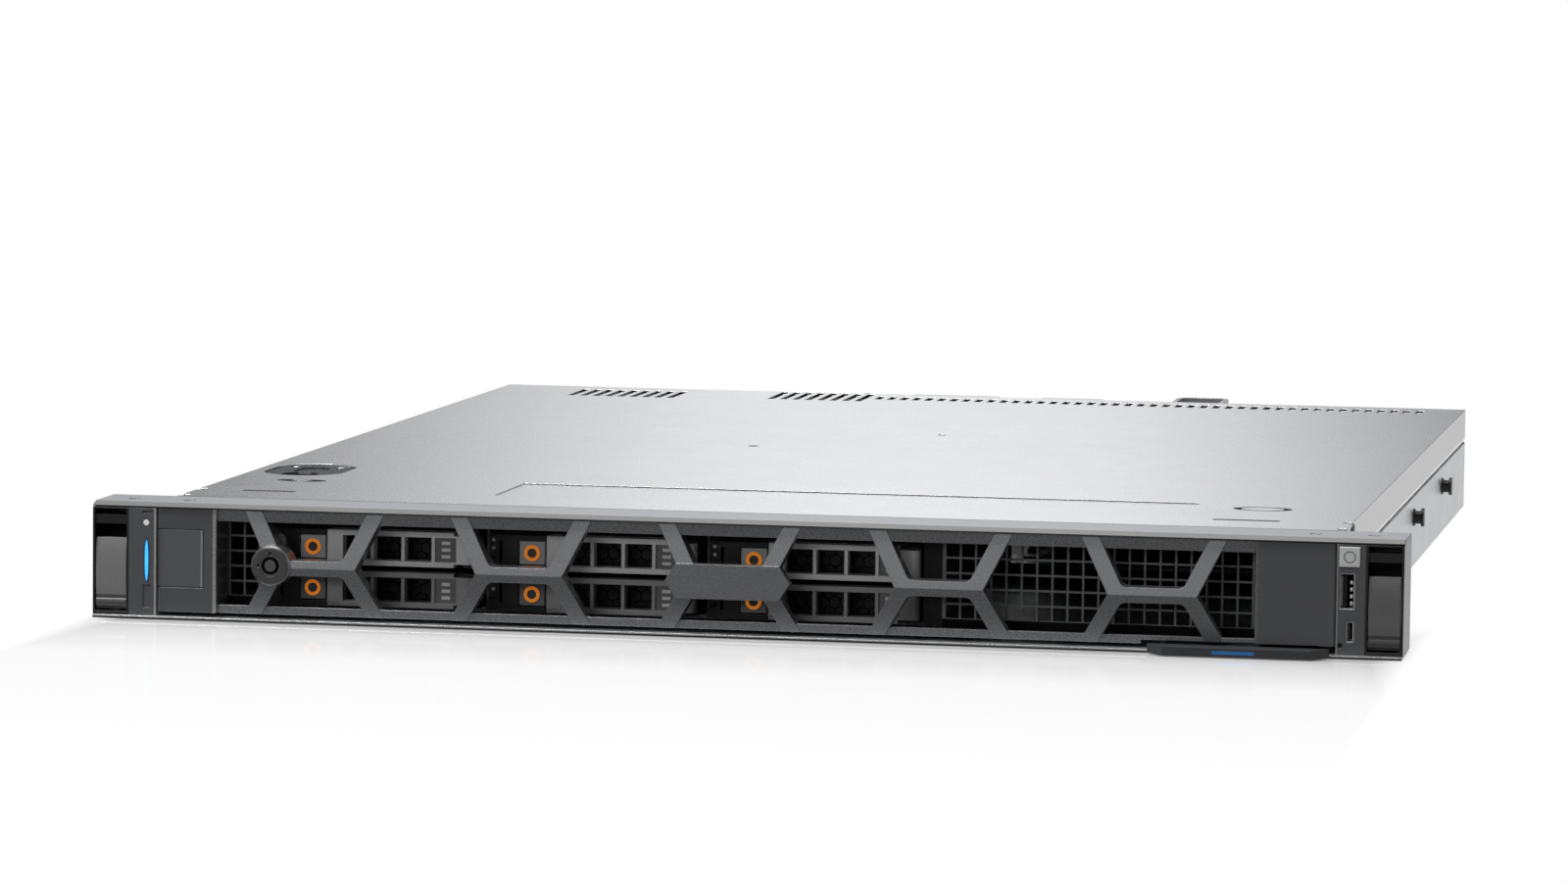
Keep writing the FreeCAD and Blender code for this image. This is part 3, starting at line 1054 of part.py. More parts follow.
def slot_latch():
    """Clip that swings across the ends of the slot covers."""
    y = BODY_DEPTH + 4.6
    low, high = SLOT_LATCH_LOW, SLOT_LATCH_LOW + 7.0
    arm = prism("z", [(SLOT_LATCH_X - 16, y - 3.6), (SLOT_LATCH_X + 3.8, y - 3.6), (SLOT_LATCH_X + 3.8, y + 3.8),
                      (SLOT_LATCH_X - 5, y + 3.8), (SLOT_LATCH_X - 8, y - 0.8), (SLOT_LATCH_X - 16, y - 0.8)],
                low, high, [0.6, 3.0, 3.0, 1.2, 1.2, 0.6])
    grip = box(SLOT_LATCH_X - 16, SLOT_LATCH_X - 14, y - 3.6, y + 6.4, low, high)
    bore = rod("z", SLOT_LATCH_PIN + FIT, (SLOT_LATCH_X, y), low - 1, high + 1)
    save("slot_latch", carve(join([arm, grip]), [bore]))


def rear_blanks():
    """Two vented slot covers and the filler of the empty power supply bay."""
    y0, y1 = BODY_DEPTH - STEEL - 1.0, BODY_DEPTH - STEEL
    pieces = []
    for z in slot_places():
        cover = box(SLOT_LEFT - 1, SLOT_LEFT + SLOT_WIDTH + 1, y0, y1, z - 1.0, z + SLOT_HEIGHT + 1.0)
        holes = [box(SLOT_LEFT + 6 + 7 * i, SLOT_LEFT + 10 + 7 * i, y0 - 1, y1 + 1, z + 3, z + SLOT_HEIGHT - 3)
                 for i in range(10)]
        pieces.append(carve(cover, holes))
    left, right = blank_left(), blank_left() + PSU_WIDTH
    low, high = STEEL + PLAY, STEEL + PLAY + PSU_HEIGHT - 0.4
    outer = box(left, right, BODY_DEPTH - 26, BODY_DEPTH, low, high)
    inner = box(left + 1, right - 1, BODY_DEPTH - 27, BODY_DEPTH - 1, low + 1, high - 1)
    finger = box(left + 10, left + 30, BODY_DEPTH - 2, BODY_DEPTH + 1, low + 12, low + 20)
    slots = [box(x, x + 2.2, BODY_DEPTH - 2, BODY_DEPTH + 1, low + 5, high - 5)
             for x in (left + 38 + 4.0 * i for i in range(8))]
    pieces.append(carve(outer, [inner, finger] + slots))
    save("rear_blanks", *pieces)


def blank_left():
    return PSU_LEFT + PSU_WIDTH + 2 * PLAY + CAGE_SHEET


def riser_right():
    """Right side of the riser card's bracket."""
    return SLOT_LEFT + SLOT_WIDTH + RISER_GAP + RISER_BRACKET


def riser_card():
    """Upright card beside the slots, with a socket for each."""
    x = SLOT_LEFT + SLOT_WIDTH + RISER_GAP
    y0, y1 = BODY_DEPTH - 133, BODY_DEPTH - 25
    board = box(x, x + BOARD_THICK, y0, y1, BOARD_TOP, RISER_TOP)
    sockets = [box(x - 9, x, y0 + 5, y0 + 90, z + 4, z + 11.5) for z in slot_places()]
    slits = [box(x - 10, x - 3, y0 + 7, y0 + 88, z + 7, z + 8.5) for z in slot_places()]
    bracket = box(x + BOARD_THICK, riser_right(), y0, y1, BOARD_TOP, BOARD_TOP + 8)
    save("riser_card", join([board, carve(join(sockets), slits), bracket]))


def psu_cage():
    """Upright partitions of the two power supply bays, folded together at the front."""
    front = BODY_DEPTH - PSU_LENGTH - 4
    left = PSU_LEFT - PLAY - CAGE_SHEET
    between = PSU_LEFT + PSU_WIDTH + PLAY
    back = BODY_DEPTH - STEEL
    walls = [box(x, x + CAGE_SHEET, front, back, STEEL, WALL_TOP) for x in (left, between)]
    fold = box(left - 6, left, front, front + CAGE_SHEET, BOARD_TOP + 8, WALL_TOP)
    foot = box(between + CAGE_SHEET, between + CAGE_SHEET + 8, front, back - 30, STEEL, STEEL + 1.0)
    save("psu_cage", join([walls[0], fold]), join([walls[1], foot]))


def power_board():
    """Upright distribution board with a receptacle for each supply."""
    y = BODY_DEPTH - PSU_LENGTH - 14
    right = blank_left() + PSU_WIDTH
    board = box(PSU_LEFT, right, y, y + BOARD, BOARD_TOP - 4.8, UPRIGHT_TOP)
    receptacles = []
    for left in (PSU_LEFT, blank_left()):
        block = box(left + 14, left + 60, y + BOARD, y + 10, PSU_EDGE - 4, PSU_EDGE + 5.6)
        slit = box(left + 13, left + 61, y + 5, y + 11, PSU_EDGE - PLAY, PSU_EDGE + 1.6 + PLAY)
        receptacles.append(block.cut(slit))
    foot = box(PSU_LEFT, right, y - 8, y, BOARD_TOP - 6.3, BOARD_TOP - 4.8)
    save("power_board", join([board, foot] + receptacles))


def psu():
    """Power supply: case, edge connector, inlet, exhaust slots and a bail handle."""
    left, right = PSU_LEFT, PSU_LEFT + PSU_WIDTH
    low, high = STEEL + PLAY, STEEL + PLAY + PSU_HEIGHT
    front, back = BODY_DEPTH - PSU_LENGTH, BODY_DEPTH - 0.5
    case = prism("y", rectangle(left, right, low, high), front, back, 0.8)
    edge = box(left + 15, left + 59, front - 5, front + 1, PSU_EDGE, PSU_EDGE + 1.6)
    middle = left + PSU_WIDTH / 2
    inlet = prism("y", rectangle(left + 2.5, left + 19.5, low + 6.0, low + 30.5), back - 16, back + 1,
                  [0.5, 0.5, 3.5, 3.5])
    pins = [box(left + 10 + dx, left + 12 + dx, back - 17, back - 2, low + 12 + dz, low + 16 + dz)
            for dx, dz in ((-3.6, 0), (-3.6, 8), (3.0, 4))]
    slots = [box(x, x + 2.2, back - 4, back + 1, low + 5, high - 5)
             for x in (right - 17.5 + 3.7 * i for i in range(5))]
    slots += [box(middle - 9.4 + 3.7 * i, middle - 7.2 + 3.7 * i, back - 4, back + 1, low + 4, LOOP_LOW - 3)
              for i in range(5)]
    latch_slot = box(psu_latch_left() - PSU_LATCH_TRAVEL - PLAY, psu_latch_left() + 2 + PLAY, back - 9, back + 1,
                     29.0 - PLAY, 35.0 + PLAY)
    half = LOOP_WIDTH / 2
    reach = BODY_DEPTH + HANDLE_REACH
    outer = prism("z", [(middle - half, back - 1), (middle + half, back - 1), (middle + half, reach),
                        (middle - half, reach)], LOOP_LOW, LOOP_HIGH, [0, 0, 7.0, 7.0])
    inner = prism("z", [(middle - half + LOOP_STRAP, back - 2), (middle + half - LOOP_STRAP, back - 2),
                        (middle + half - LOOP_STRAP, reach - LOOP_STRAP),
                        (middle - half + LOOP_STRAP, reach - LOOP_STRAP)], LOOP_LOW - 1, LOOP_HIGH + 1,
                  [0, 0, 4.8, 4.8])
    step = box(left, right, back - 2, BODY_DEPTH + PLAY, high - 0.4, LOOP_HIGH + 1)
    body = carve(join([case, edge]), [inlet, latch_slot] + slots)
    save("psu", join([body, carve(outer, [inner, step])] + pins))
    x = psu_latch_left()
    lever = join([box(x, x + 2, back - 7, back + 16, 29.0, 35.0), box(x, x + 4.5, back + 10, back + 16, 27.0, 37.0)])
    save("psu_latch", lever)


def psu_latch_left():
    return PSU_LEFT + PSU_WIDTH / 2 + LOOP_WIDTH / 2 + PSU_LATCH_TRAVEL + 2 * PLAY


# ---------------------------------------------------------------- fasteners
def rail_studs():
    """Shouldered studs that hook into the slide rails, three on each side."""
    studs = []
    for y in (RAIL_STUD_FIRST + RAIL_STUD_PITCH * i for i in range(RAIL_STUDS)):
        stud = join([rod("x", 2.6, (y, RAIL_STUD_Z), HALF_BODY, HALF_BODY + 3.2),
                     rod("x", 3.5, (y, RAIL_STUD_Z), HALF_BODY, HALF_BODY + 0.6),
                     rod("x", 3.7, (y, RAIL_STUD_Z), HALF_BODY + 3.0, HALF_BODY + 4.2)])
        studs += [stud, mirror_x(stud)]
    save("rail_studs", *studs)


def case_screws():
    """Captive rack screws in the ears and the main board's screws."""
    back = FRONT_DEPTH - EAR_BACK
    screws = []
    for side in (-1, 1):
        place = (side * RACK_HOLE_SPAN / 2, RACK_HOLE_HEIGHT)
        head = rod("y", RACK_SCREW_HEAD, place, back - 5, back)
        slit = box(place[0] - 3, place[0] + 3, back - 6, back - 3.8, place[1] - 0.6, place[1] + 0.6)
        neck = rod("y", RACK_SCREW_NECK, place, back - 1, FRONT_DEPTH + RACK_SCREW_REACH - 1)
        thread = rod("y", RACK_SCREW, place, FRONT_DEPTH + RACK_THREAD_GAP, FRONT_DEPTH + RACK_SCREW_REACH)
        screws.append(carve(join([head, neck, thread]), [slit]))
    for place in BOARD_STUDS:
        screws.append(join([rod("z", 3.0, place, BOARD_TOP, BOARD_TOP + 1.8),
                            rod("z", BOARD_SCREW, place, BOARD_LOW, BOARD_TOP + 0.5)]))
    save("case_screws", *screws)


# ---------------------------------------------------------------- top cover


def oval(x, y, width, length, start, end):
    """Upright prism with a round-ended outline, longer in y."""
    half = width / 2
    straight = length / 2 - half
    a, b = Vector(x + half, y - straight, start), Vector(x + half, y + straight, start)
    c, d = Vector(x - half, y + straight, start), Vector(x - half, y - straight, start)
    edges = [Part.makeLine(a, b), Part.Arc(b, Vector(x, y + straight + half, start), c).toShape(),
             Part.makeLine(c, d), Part.Arc(d, Vector(x, y - straight - half, start), a).toShape()]
    return Part.Face(Part.Wire(edges)).extrude(Vector(0, 0, end - start))


def top_cover():
    """Cover sheet with side flanges, vents, pressed label area, latch dish and lock well."""
    top, under = BODY_HEIGHT, COVER_UNDER
    front = FRONT_DEPTH + 2 * PLAY
    sheet = box(-HALF_BODY, HALF_BODY, front, BODY_DEPTH, under, top)
    edge = HALF_BODY - COVER_STEEL
    flanges = [box(x, x + COVER_STEEL, FLANGE_FRONT, BODY_DEPTH, SEAM_HEIGHT, top) for x in (-HALF_BODY, edge)]
    cup = oval(DISH_X, DISH_Y, DISH_WIDTH + 2 * COVER_STEEL, DISH_LENGTH + 2 * COVER_STEEL,
               top - DISH_DEPTH - COVER_STEEL, under + 0.1)
    left, right, y0, y1 = LABEL_PANEL
    left, right = -HALF_BODY + left, HALF_BODY - right
    boss = box(left + 1, right - 1, y0 + 1, y1 - 1, under - LABEL_DROP, under + 0.1)
    lock_cup = rod("z", COVER_LOCK_RADIUS + 1.6, (COVER_LOCK_X, COVER_LOCK_Y), under - 1.2, under + 0.1)
    body = join([sheet, cup, boss, lock_cup] + flanges)
    tools = [oval(DISH_X, DISH_Y, DISH_WIDTH, DISH_LENGTH, top - DISH_DEPTH, top + 1),
             box(left, right, y0, y1, top - LABEL_DROP, top + 1),
             rod("z", COVER_LOCK_RADIUS + FIT, (COVER_LOCK_X, COVER_LOCK_Y), top - 1.2, top + 1)]
    tools += [rod("z", r, (-HALF_BODY + inset, y), under - 1, top + 1) for inset, y, r in COVER_HOLES]
    for side in (-1, 1):
        for y in (front + 2, front + 26):
            tools.append(box(side * (HALF_BODY - 1.4) - 1.6, side * (HALF_BODY - 1.4) + 1.6, y, y + 6, under - 1,
                             top + 1))
    for near, far, before, after in VENTS:
        for i in range(int((far - near - VENT_WIDTH) / VENT_PITCH) + 1):
            x = -HALF_BODY + near + VENT_PITCH * i
            tools.append(box(x, x + VENT_WIDTH, BODY_DEPTH - before, BODY_DEPTH - after, under - 1, top + 1))
    ears = [box(DISH_X + side * 9 - 1, DISH_X + side * 9 + 1, latch_hinge_y() - 2, latch_hinge_y() + 2.4,
                top - DISH_DEPTH, top - 0.2) for side in (-1, 1)]
    pin = rod("x", COVER_LATCH_PIN, (latch_hinge_y(), latch_hinge_z()), DISH_X - 9, DISH_X + 9)
    save("top_cover", join([carve(body, tools), pin] + ears))


def latch_hinge_y():
    return DISH_Y + DISH_LENGTH / 2 - 11.0


def latch_hinge_z():
    return BODY_HEIGHT - DISH_DEPTH + 1.5


def cover_latch():
    """Flat lever in the cover's dish, hinged near its rear end, with a scoop for a finger."""
    top = BODY_HEIGHT - 0.3
    low = top - COVER_LATCH_SHEET
    y, z = latch_hinge_y(), latch_hinge_z()
    paddle = oval(DISH_X, DISH_Y, DISH_WIDTH - 2, DISH_LENGTH - 2, low, top)
    rear_cut = box(DISH_X - DISH_WIDTH, DISH_X + DISH_WIDTH, y + 1.2, y + DISH_LENGTH, low - 1, top + 1)
    finger = oval(DISH_X, DISH_Y - DISH_LENGTH / 2 + 6, 14.0, 22.0, low - 1, top + 1)
    scoop = oval(DISH_X, DISH_Y + 2, 12.0, 22.0, top - 0.7, top + 1)
    knuckle = rod("x", 1.25, (y, z), DISH_X - 7.6, DISH_X + 7.6)
    neck = box(DISH_X - 7.6, DISH_X + 7.6, y - 1.2, y + 1.2, z, low + 0.4)
    notches = [box(DISH_X + side * 9 - 1.4, DISH_X + side * 9 + 1.4, y - 4, y + 4, low - 1, top + 1)
               for side in (-1, 1)]
    bore = rod("x", COVER_LATCH_PIN + FIT, (y, z), DISH_X - 12, DISH_X + 12)
    save("cover_latch", carve(join([carve(paddle, [rear_cut, finger, scoop] + notches), knuckle, neck]), [bore]))


def cover_lock():
    """Quarter-turn lock beside the latch."""
    top = BODY_HEIGHT
    place = (COVER_LOCK_X, COVER_LOCK_Y)
    disc = rod("z", COVER_LOCK_RADIUS, place, top - 1.2, top + 0.2)
    slit = box(place[0] - 3.0, place[0] + 3.0, place[1] - 0.6, place[1] + 0.6, top - 0.6, top + 1)
    save("cover_lock", carve(disc, [slit]))


# ---------------------------------------------------------------- build
for make in (chassis_tray, front_hood, ears_and_latches, status_panel, control_panel, bezel, bezel_lock,
             info_tag, drives, drive_cage, vent_grilles, backplane, fans, motherboard, heatsink,
             memory_modules, board_parts, cables, air_shroud, rear_ports, rear_panel, slot_latch,
             rear_blanks, riser_card, psu_cage, power_board, psu, rail_studs, case_screws, top_cover,
             cover_latch, cover_lock):
    make()

os.makedirs("parts", exist_ok=True)
for node, shape in PARTS.items():
    shape.exportStep(f"parts/{node}.step")
print(len(PARTS), "nodes")
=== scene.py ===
import math

import bpy
from mathutils import Matrix, Vector


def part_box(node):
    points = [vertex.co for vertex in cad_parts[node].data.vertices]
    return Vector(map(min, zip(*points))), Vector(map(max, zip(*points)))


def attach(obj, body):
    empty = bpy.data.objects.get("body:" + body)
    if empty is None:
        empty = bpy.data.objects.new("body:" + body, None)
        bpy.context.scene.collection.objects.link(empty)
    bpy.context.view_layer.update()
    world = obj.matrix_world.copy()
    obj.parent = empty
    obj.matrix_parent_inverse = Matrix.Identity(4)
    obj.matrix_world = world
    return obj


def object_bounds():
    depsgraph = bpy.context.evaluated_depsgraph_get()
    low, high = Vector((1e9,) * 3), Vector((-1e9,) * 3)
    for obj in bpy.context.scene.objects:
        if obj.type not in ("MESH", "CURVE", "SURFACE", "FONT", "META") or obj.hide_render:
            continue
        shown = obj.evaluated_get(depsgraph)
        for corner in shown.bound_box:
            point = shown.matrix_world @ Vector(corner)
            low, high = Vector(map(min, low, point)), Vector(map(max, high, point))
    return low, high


# Looks of a 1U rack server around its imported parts. Lengths are metres, +Z is up and the front faces -Y.

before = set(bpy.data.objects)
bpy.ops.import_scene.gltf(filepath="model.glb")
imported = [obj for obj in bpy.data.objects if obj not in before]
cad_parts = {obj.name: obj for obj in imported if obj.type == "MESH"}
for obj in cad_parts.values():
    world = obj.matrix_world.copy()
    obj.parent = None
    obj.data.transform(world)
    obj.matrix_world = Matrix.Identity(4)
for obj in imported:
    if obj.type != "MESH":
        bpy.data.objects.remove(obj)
CAD_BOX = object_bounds()
MM = 0.001

DRIVES = 6
FAN_ROTORS = 4
DRIVE_NUMBERS = range(1, DRIVES + 1)


# ---------------------------------------------------------------- node trees
def tone(red, green=None, blue=None):
    """Linear colour of a display colour given as 0 to 255; one value makes a grey."""
    levels = (red, red if green is None else green, red if blue is None else blue)
    linear = [((v / 255 + 0.055) / 1.055) ** 2.4 if v > 10 else v / 255 / 12.92 for v in levels]
    return (*linear, 1.0)


class Tree:
    """Adds nodes to a tree. A value that is a socket is linked, and any other is set on the socket."""

    def __init__(self, tree):
        self.tree = tree

    def put(self, socket, value):
        if isinstance(value, bpy.types.NodeSocket):
            self.tree.links.new(value, socket)
        else:
            socket.default_value = value

    def add(self, kind, values=None, **settings):
        node = self.tree.nodes.new(kind)
        for name, value in settings.items():
            setattr(node, name, value)
        for key, value in (values or {}).items():
            self.put(node.inputs[key], value)
        return node

    def math(self, operation, *values):
        return self.add("ShaderNodeMath", dict(enumerate(values)), operation=operation).outputs[0]

    def vector(self, operation, *values):
        node = self.add("ShaderNodeVectorMath", dict(enumerate(values)), operation=operation)
        return node.outputs["Value" if operation in ("DOT_PRODUCT", "LENGTH") else "Vector"]

    def mix(self, factor, first, second, blend="MIX"):
        node = self.add("ShaderNodeMix", {0: factor, 6: first, 7: second}, data_type="RGBA",
                        blend_type=blend)
        return node.outputs[2]

    def grey(self, value):
        return self.add("ShaderNodeCombineColor", {0: value, 1: value, 2: value}).outputs[0]

    def axes(self, vector):
        return self.add("ShaderNodeSeparateXYZ", {0: vector}).outputs

    def noise(self, place, scale, detail):
        node = self.add("ShaderNodeTexNoise", {"Vector": place, "Scale": scale, "Detail": detail})
        return node.outputs["Fac"]

    def copies(self, points, shape, **turned):
        values = {"Points": points, "Instance": shape, **turned}
        return self.add("GeometryNodeInstanceOnPoints", values).outputs[0]

    def ramp(self, value, start, end, low=0.0, high=1.0):
        values = {"Value": value, "From Min": start, "From Max": end, "To Min": low, "To Max": high}
        return self.add("ShaderNodeMapRange", values, clamp=True).outputs["Result"]


def new_group(name, inputs, outputs):
    """Shader group with float inputs given as {name: default} and outputs as {name: socket type}."""
    tree = bpy.data.node_groups.new(name, "ShaderNodeTree")
    for label, default in inputs.items():
        socket = tree.interface.new_socket(name=label, in_out="INPUT", socket_type="NodeSocketFloat")
        socket.default_value = default
    for label, socket_type in outputs.items():
        tree.interface.new_socket(name=label, in_out="OUTPUT", socket_type=socket_type)
    build = Tree(tree)
    return build, build.add("NodeGroupInput").outputs, build.add("NodeGroupOutput").inputs


def object_place(build, scale=(1, 1, 1)):
    """Position on the piece in its own metres, stretched by scale."""
    place = build.add("ShaderNodeTexCoord").outputs["Object"]
    return build.add("ShaderNodeMapping", {"Vector": place, "Scale": scale}).outputs[0]


# ---------------------------------------------------------------- shared shader groups
FLOAT, VECTOR = "NodeSocketFloat", "NodeSocketVector"


def edge_highlight_and_wear_group():
    """Softened edge normal, and a mask of the edges themselves broken up by noise; the finishes lighten
    the edges by this mask, as wear and as a painted highlight.
    """
    build, given, out = new_group("edge_highlight_and_wear", {"Radius": 0.0004, "Breakup": 90.0},
                                  {"Normal": VECTOR, "Edge": FLOAT})
    bevel = build.add("ShaderNodeBevel", {"Radius": given["Radius"]}, samples=4).outputs[0]
    flat = build.add("ShaderNodeNewGeometry").outputs["Normal"]
    turn = build.math("SUBTRACT", 1.0, build.vector("DOT_PRODUCT", bevel, flat))
    patchy = build.ramp(build.noise(object_place(build), given["Breakup"], 3.0), 0.35, 0.7, 0.35, 1.0)
    build.put(out["Normal"], bevel)
    build.put(out["Edge"], build.math("MULTIPLY", build.ramp(turn, 0.02, 0.3), patchy))
    return build.tree


def moulded_grain_group():
    """Fine spark-eroded texture of moulded plastic."""
    build, given, out = new_group("moulded_grain", {"Scale": 2600.0}, {"Height": FLOAT, "Value": FLOAT})
    place = object_place(build)
    cells = build.add("ShaderNodeTexVoronoi", {"Vector": place, "Scale": given["Scale"]}).outputs["Distance"]
    noise = build.noise(place, given["Scale"], 2.0)
    build.put(out["Height"], build.math("MULTIPLY", cells, noise))
    build.put(out["Value"], noise)
    return build.tree


def zinc_sheet_group():
    """Crystal patches of zinc-coated sheet over faint rolling lines."""
    build, given, out = new_group("zinc_sheet", {"Crystal": 160.0, "Lines": 700.0},
                                  {"Value": FLOAT, "Height": FLOAT})
    place = object_place(build)
    crystals = build.add("ShaderNodeTexVoronoi", {"Vector": place, "Scale": given["Crystal"]})
    shade = build.axes(crystals.outputs["Color"])[0]
    lines = build.noise(object_place(build, (1.0, 0.03, 1.0)), given["Lines"], 2.0)
    build.put(out["Value"], build.math("ADD", build.math("MULTIPLY", shade, 0.6),
                                       build.math("MULTIPLY", lines, 0.4)))
    build.put(out["Height"], lines)
    return build.tree


def settled_dust_group():
    """Dust on what faces up, thicker in patches."""
    build, given, out = new_group("settled_dust", {"Amount": 0.3, "Scale": 60.0}, {"Mask": FLOAT})
    facing = build.axes(build.add("ShaderNodeTexCoord").outputs["Normal"])[2]
    patch = build.ramp(build.noise(object_place(build), given["Scale"], 5.0), 0.4, 0.75)
    mask = build.math("MULTIPLY", build.ramp(facing, 0.5, 0.95), patch)
    build.put(out["Mask"], build.math("MULTIPLY", mask, given["Amount"]))
    return build.tree


def tone_drift_group():
    """Slow change of tone over a surface, about 1."""
    build, given, out = new_group("tone_drift", {"Scale": 9.0, "Amount": 0.06}, {"Value": FLOAT})
    centred = build.math("SUBTRACT", build.noise(object_place(build), given["Scale"], 3.0), 0.5)
    swing = build.math("MULTIPLY", centred, build.math("MULTIPLY", given["Amount"], 2.0))
    build.put(out["Value"], build.math("ADD", swing, 1.0))
    return build.tree


GROUPS = {"edge_highlight_and_wear": edge_highlight_and_wear_group(), "moulded_grain": moulded_grain_group(),
          "zinc_sheet": zinc_sheet_group(), "settled_dust": settled_dust_group(),
          "tone_drift": tone_drift_group()}


def use_group(build, name, **values):
    node = build.add("ShaderNodeGroup", node_tree=GROUPS[name])
    for label, value in values.items():
        build.put(node.inputs[label], value)
    return node.outputs


# ---------------------------------------------------------------- masks on a piece
OPEN = (None, None, None)


def box_mask(low=OPEN, high=OPEN):
    """Mask of what lies between two corners; None leaves a side open."""
    def build_mask(build):
        axes = build.axes(object_place(build))
        mask = None
        for axis in range(3):
            for limit, test in ((low[axis], "GREATER_THAN"), (high[axis], "LESS_THAN")):
                if limit is None:
                    continue
                inside = build.math(test, axes[axis], limit)
                mask = inside if mask is None else build.math("MULTIPLY", mask, inside)
        return mask
    return build_mask


def ring_mask(centre, inner, outer, squash=1.0, across="Y"):
    """Mask of a ring round a centre, seen along one axis; squash widens it along its first direction."""
    def build_mask(build):
        away = build.vector("SUBTRACT", object_place(build), centre)
        scale = (1 / squash, 0, 1) if across == "Y" else (1 / squash, 1, 0)
        radius = build.vector("LENGTH", build.vector("MULTIPLY", away, scale))
        return build.math("MULTIPLY", build.math("GREATER_THAN", radius, inner),
                          build.math("LESS_THAN", radius, outer))
    return build_mask


def disc_mask(centre, radius, across="Z", squash=1.0):
    """Mask of a disc seen along one axis."""
    return ring_mask(centre, -1.0, radius, squash, across)


def beside_mask(start, pitch, half):
    """Mask of what lies more than half a thickness from a row of upright planes along X."""
    def build_mask(build):
        across = build.axes(object_place(build))[0]
        steps = build.math("DIVIDE", build.math("SUBTRACT", across, start - pitch / 2), pitch)
        away = build.math("ABSOLUTE", build.math("SUBTRACT", build.math("FRACT", steps), 0.5))
        return build.math("GREATER_THAN", away, half / pitch)
    return build_mask


# ---------------------------------------------------------------- materials
BLACK = tone(0)


def finish(name, colour, roughness, metallic=0.0, edge=0.0004, edge_light=0.12, drift=0.05, grain=0.0,
           grain_scale=2600.0, zinc=0.0, dust=0.0, coat=0.0, patches=(), print_and_painted_shade=(), glow=None):
    """Material of one finish. Patches are (mask, colour, roughness) laid over the base in turn, some of
    them painted highlights or painted shade; print_and_painted_shade are dull marks (mask, colour) laid
    over those, both print and painted shade; glow is (mask, level), which on a part that is no lamp is
    painted light. edge_light lightens the worn edges, which is also a painted highlight."""
    material = bpy.data.materials.new(name)
    material.use_nodes = True
    build = Tree(material.node_tree)
    shader = material.node_tree.nodes["Principled BSDF"].inputs
    shader["Metallic"].default_value = metallic
    shader["Coat Weight"].default_value = coat
    tint, rough = colour, roughness
    for mask, patch_colour, patch_roughness in patches:
        cover = mask(build)
        tint = build.mix(cover, tint, patch_colour)
        rough = build.ramp(cover, 0.0, 1.0, rough, patch_roughness)
    bare = 1.0
    # Dull marks laid over the rest: print, and painted shade.
    for mask, print_and_shade_colour in print_and_painted_shade:
        cover = mask(build)
        tint = build.mix(cover, tint, print_and_shade_colour)
        bare = build.math("MULTIPLY", bare, build.math("SUBTRACT", 1.0, cover))
    if print_and_painted_shade:
        build.put(shader["Metallic"], build.math("MULTIPLY", bare, metallic))
        build.put(shader["Specular IOR Level"], build.math("MULTIPLY", bare, 0.5))
    slow = use_group(build, "tone_drift", Amount=drift)["Value"]
    tint = build.mix(1.0, tint, build.grey(slow), "MULTIPLY")
    worn_and_lit = use_group(build, "edge_highlight_and_wear", Radius=edge)
    normal, height = worn_and_lit["Normal"], None
    if grain:
        texture = use_group(build, "moulded_grain", Scale=grain_scale)
        height = texture["Height"]
        rough = build.math("ADD", rough, build.ramp(texture["Value"], 0.3, 0.7, -0.04, 0.04))
    if zinc:
        sheet = use_group(build, "zinc_sheet")
        height = sheet["Height"]
        shade = build.ramp(sheet["Value"], 0.0, 1.0, 1.0 - zinc, 1.0 + zinc)
        tint = build.mix(1.0, tint, build.grey(shade), "MULTIPLY")
        rough = build.math("ADD", rough, build.ramp(sheet["Value"], 0.2, 0.8, -0.06, 0.06))
    if height is not None:
        depth = {"Height": height, "Normal": normal, "Strength": grain or 0.06, "Distance": 0.0001}
        normal = build.add("ShaderNodeBump", depth).outputs[0]
    # Edges lightened towards a paler colour: wear, and a painted highlight along them.
    light = tuple(min(1.0, c * 1.6 + 0.04) for c in colour[:3]) + (1.0,)
    tint = build.mix(build.math("MULTIPLY", worn_and_lit["Edge"], edge_light), tint, light)
    if dust:
        mask = use_group(build, "settled_dust", Amount=dust)["Mask"]
        tint = build.mix(mask, tint, tone(150, 147, 142))
        rough = build.math("ADD", rough, build.math("MULTIPLY", mask, 0.3))
    build.put(shader["Base Color"], tint)
    build.put(shader["Roughness"], rough)
    build.put(shader["Normal"], normal)
    if glow:
        lit, level = glow
        shader["Emission Strength"].default_value = level
        build.put(shader["Emission Color"], build.mix(lit(build), BLACK, tint))
    return material


def paint(node, material):
    """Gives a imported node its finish."""
    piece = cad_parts[node]
    for place in piece.material_slots:
        place.link = "OBJECT"
        place.material = material


def middle(node):
    low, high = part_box(node)
    return (Vector(low) + Vector(high)) / 2


# ---------------------------------------------------------------- geometry node trees
SOCKET_KINDS = {tuple: "NodeSocketVector", int: "NodeSocketInt", float: "NodeSocketFloat"}


def growth(name, inputs, make_shape):
    """Geometry Nodes tree over a piece's places, with inputs given as {name: default}."""
    tree = bpy.data.node_groups.new(name, "GeometryNodeTree")
    tree.interface.new_socket(name="Places", in_out="INPUT", socket_type="NodeSocketGeometry")
    for label, default in inputs.items():
        kind = SOCKET_KINDS[type(default)]
        socket = tree.interface.new_socket(name=label, in_out="INPUT", socket_type=kind)
        socket.default_value = default
    tree.interface.new_socket(name="Material", in_out="INPUT", socket_type="NodeSocketMaterial")
    tree.interface.new_socket(name="Geometry", in_out="OUTPUT", socket_type="NodeSocketGeometry")
    build = Tree(tree)
    given = build.add("NodeGroupInput").outputs
    solid = build.add("GeometryNodeRealizeInstances", {0: make_shape(build, given)}).outputs[0]
    dressed = build.add("GeometryNodeSetMaterial", {"Geometry": solid, "Material": given["Material"]})
    build.put(build.add("NodeGroupOutput").inputs[0], dressed.outputs[0])
    return tree


def turned_to(build, facing):
    """Rotation that turns +Z to a direction."""
    return build.add("FunctionNodeAlignRotationToVector", {"Vector": facing}, axis="Z").outputs[0]


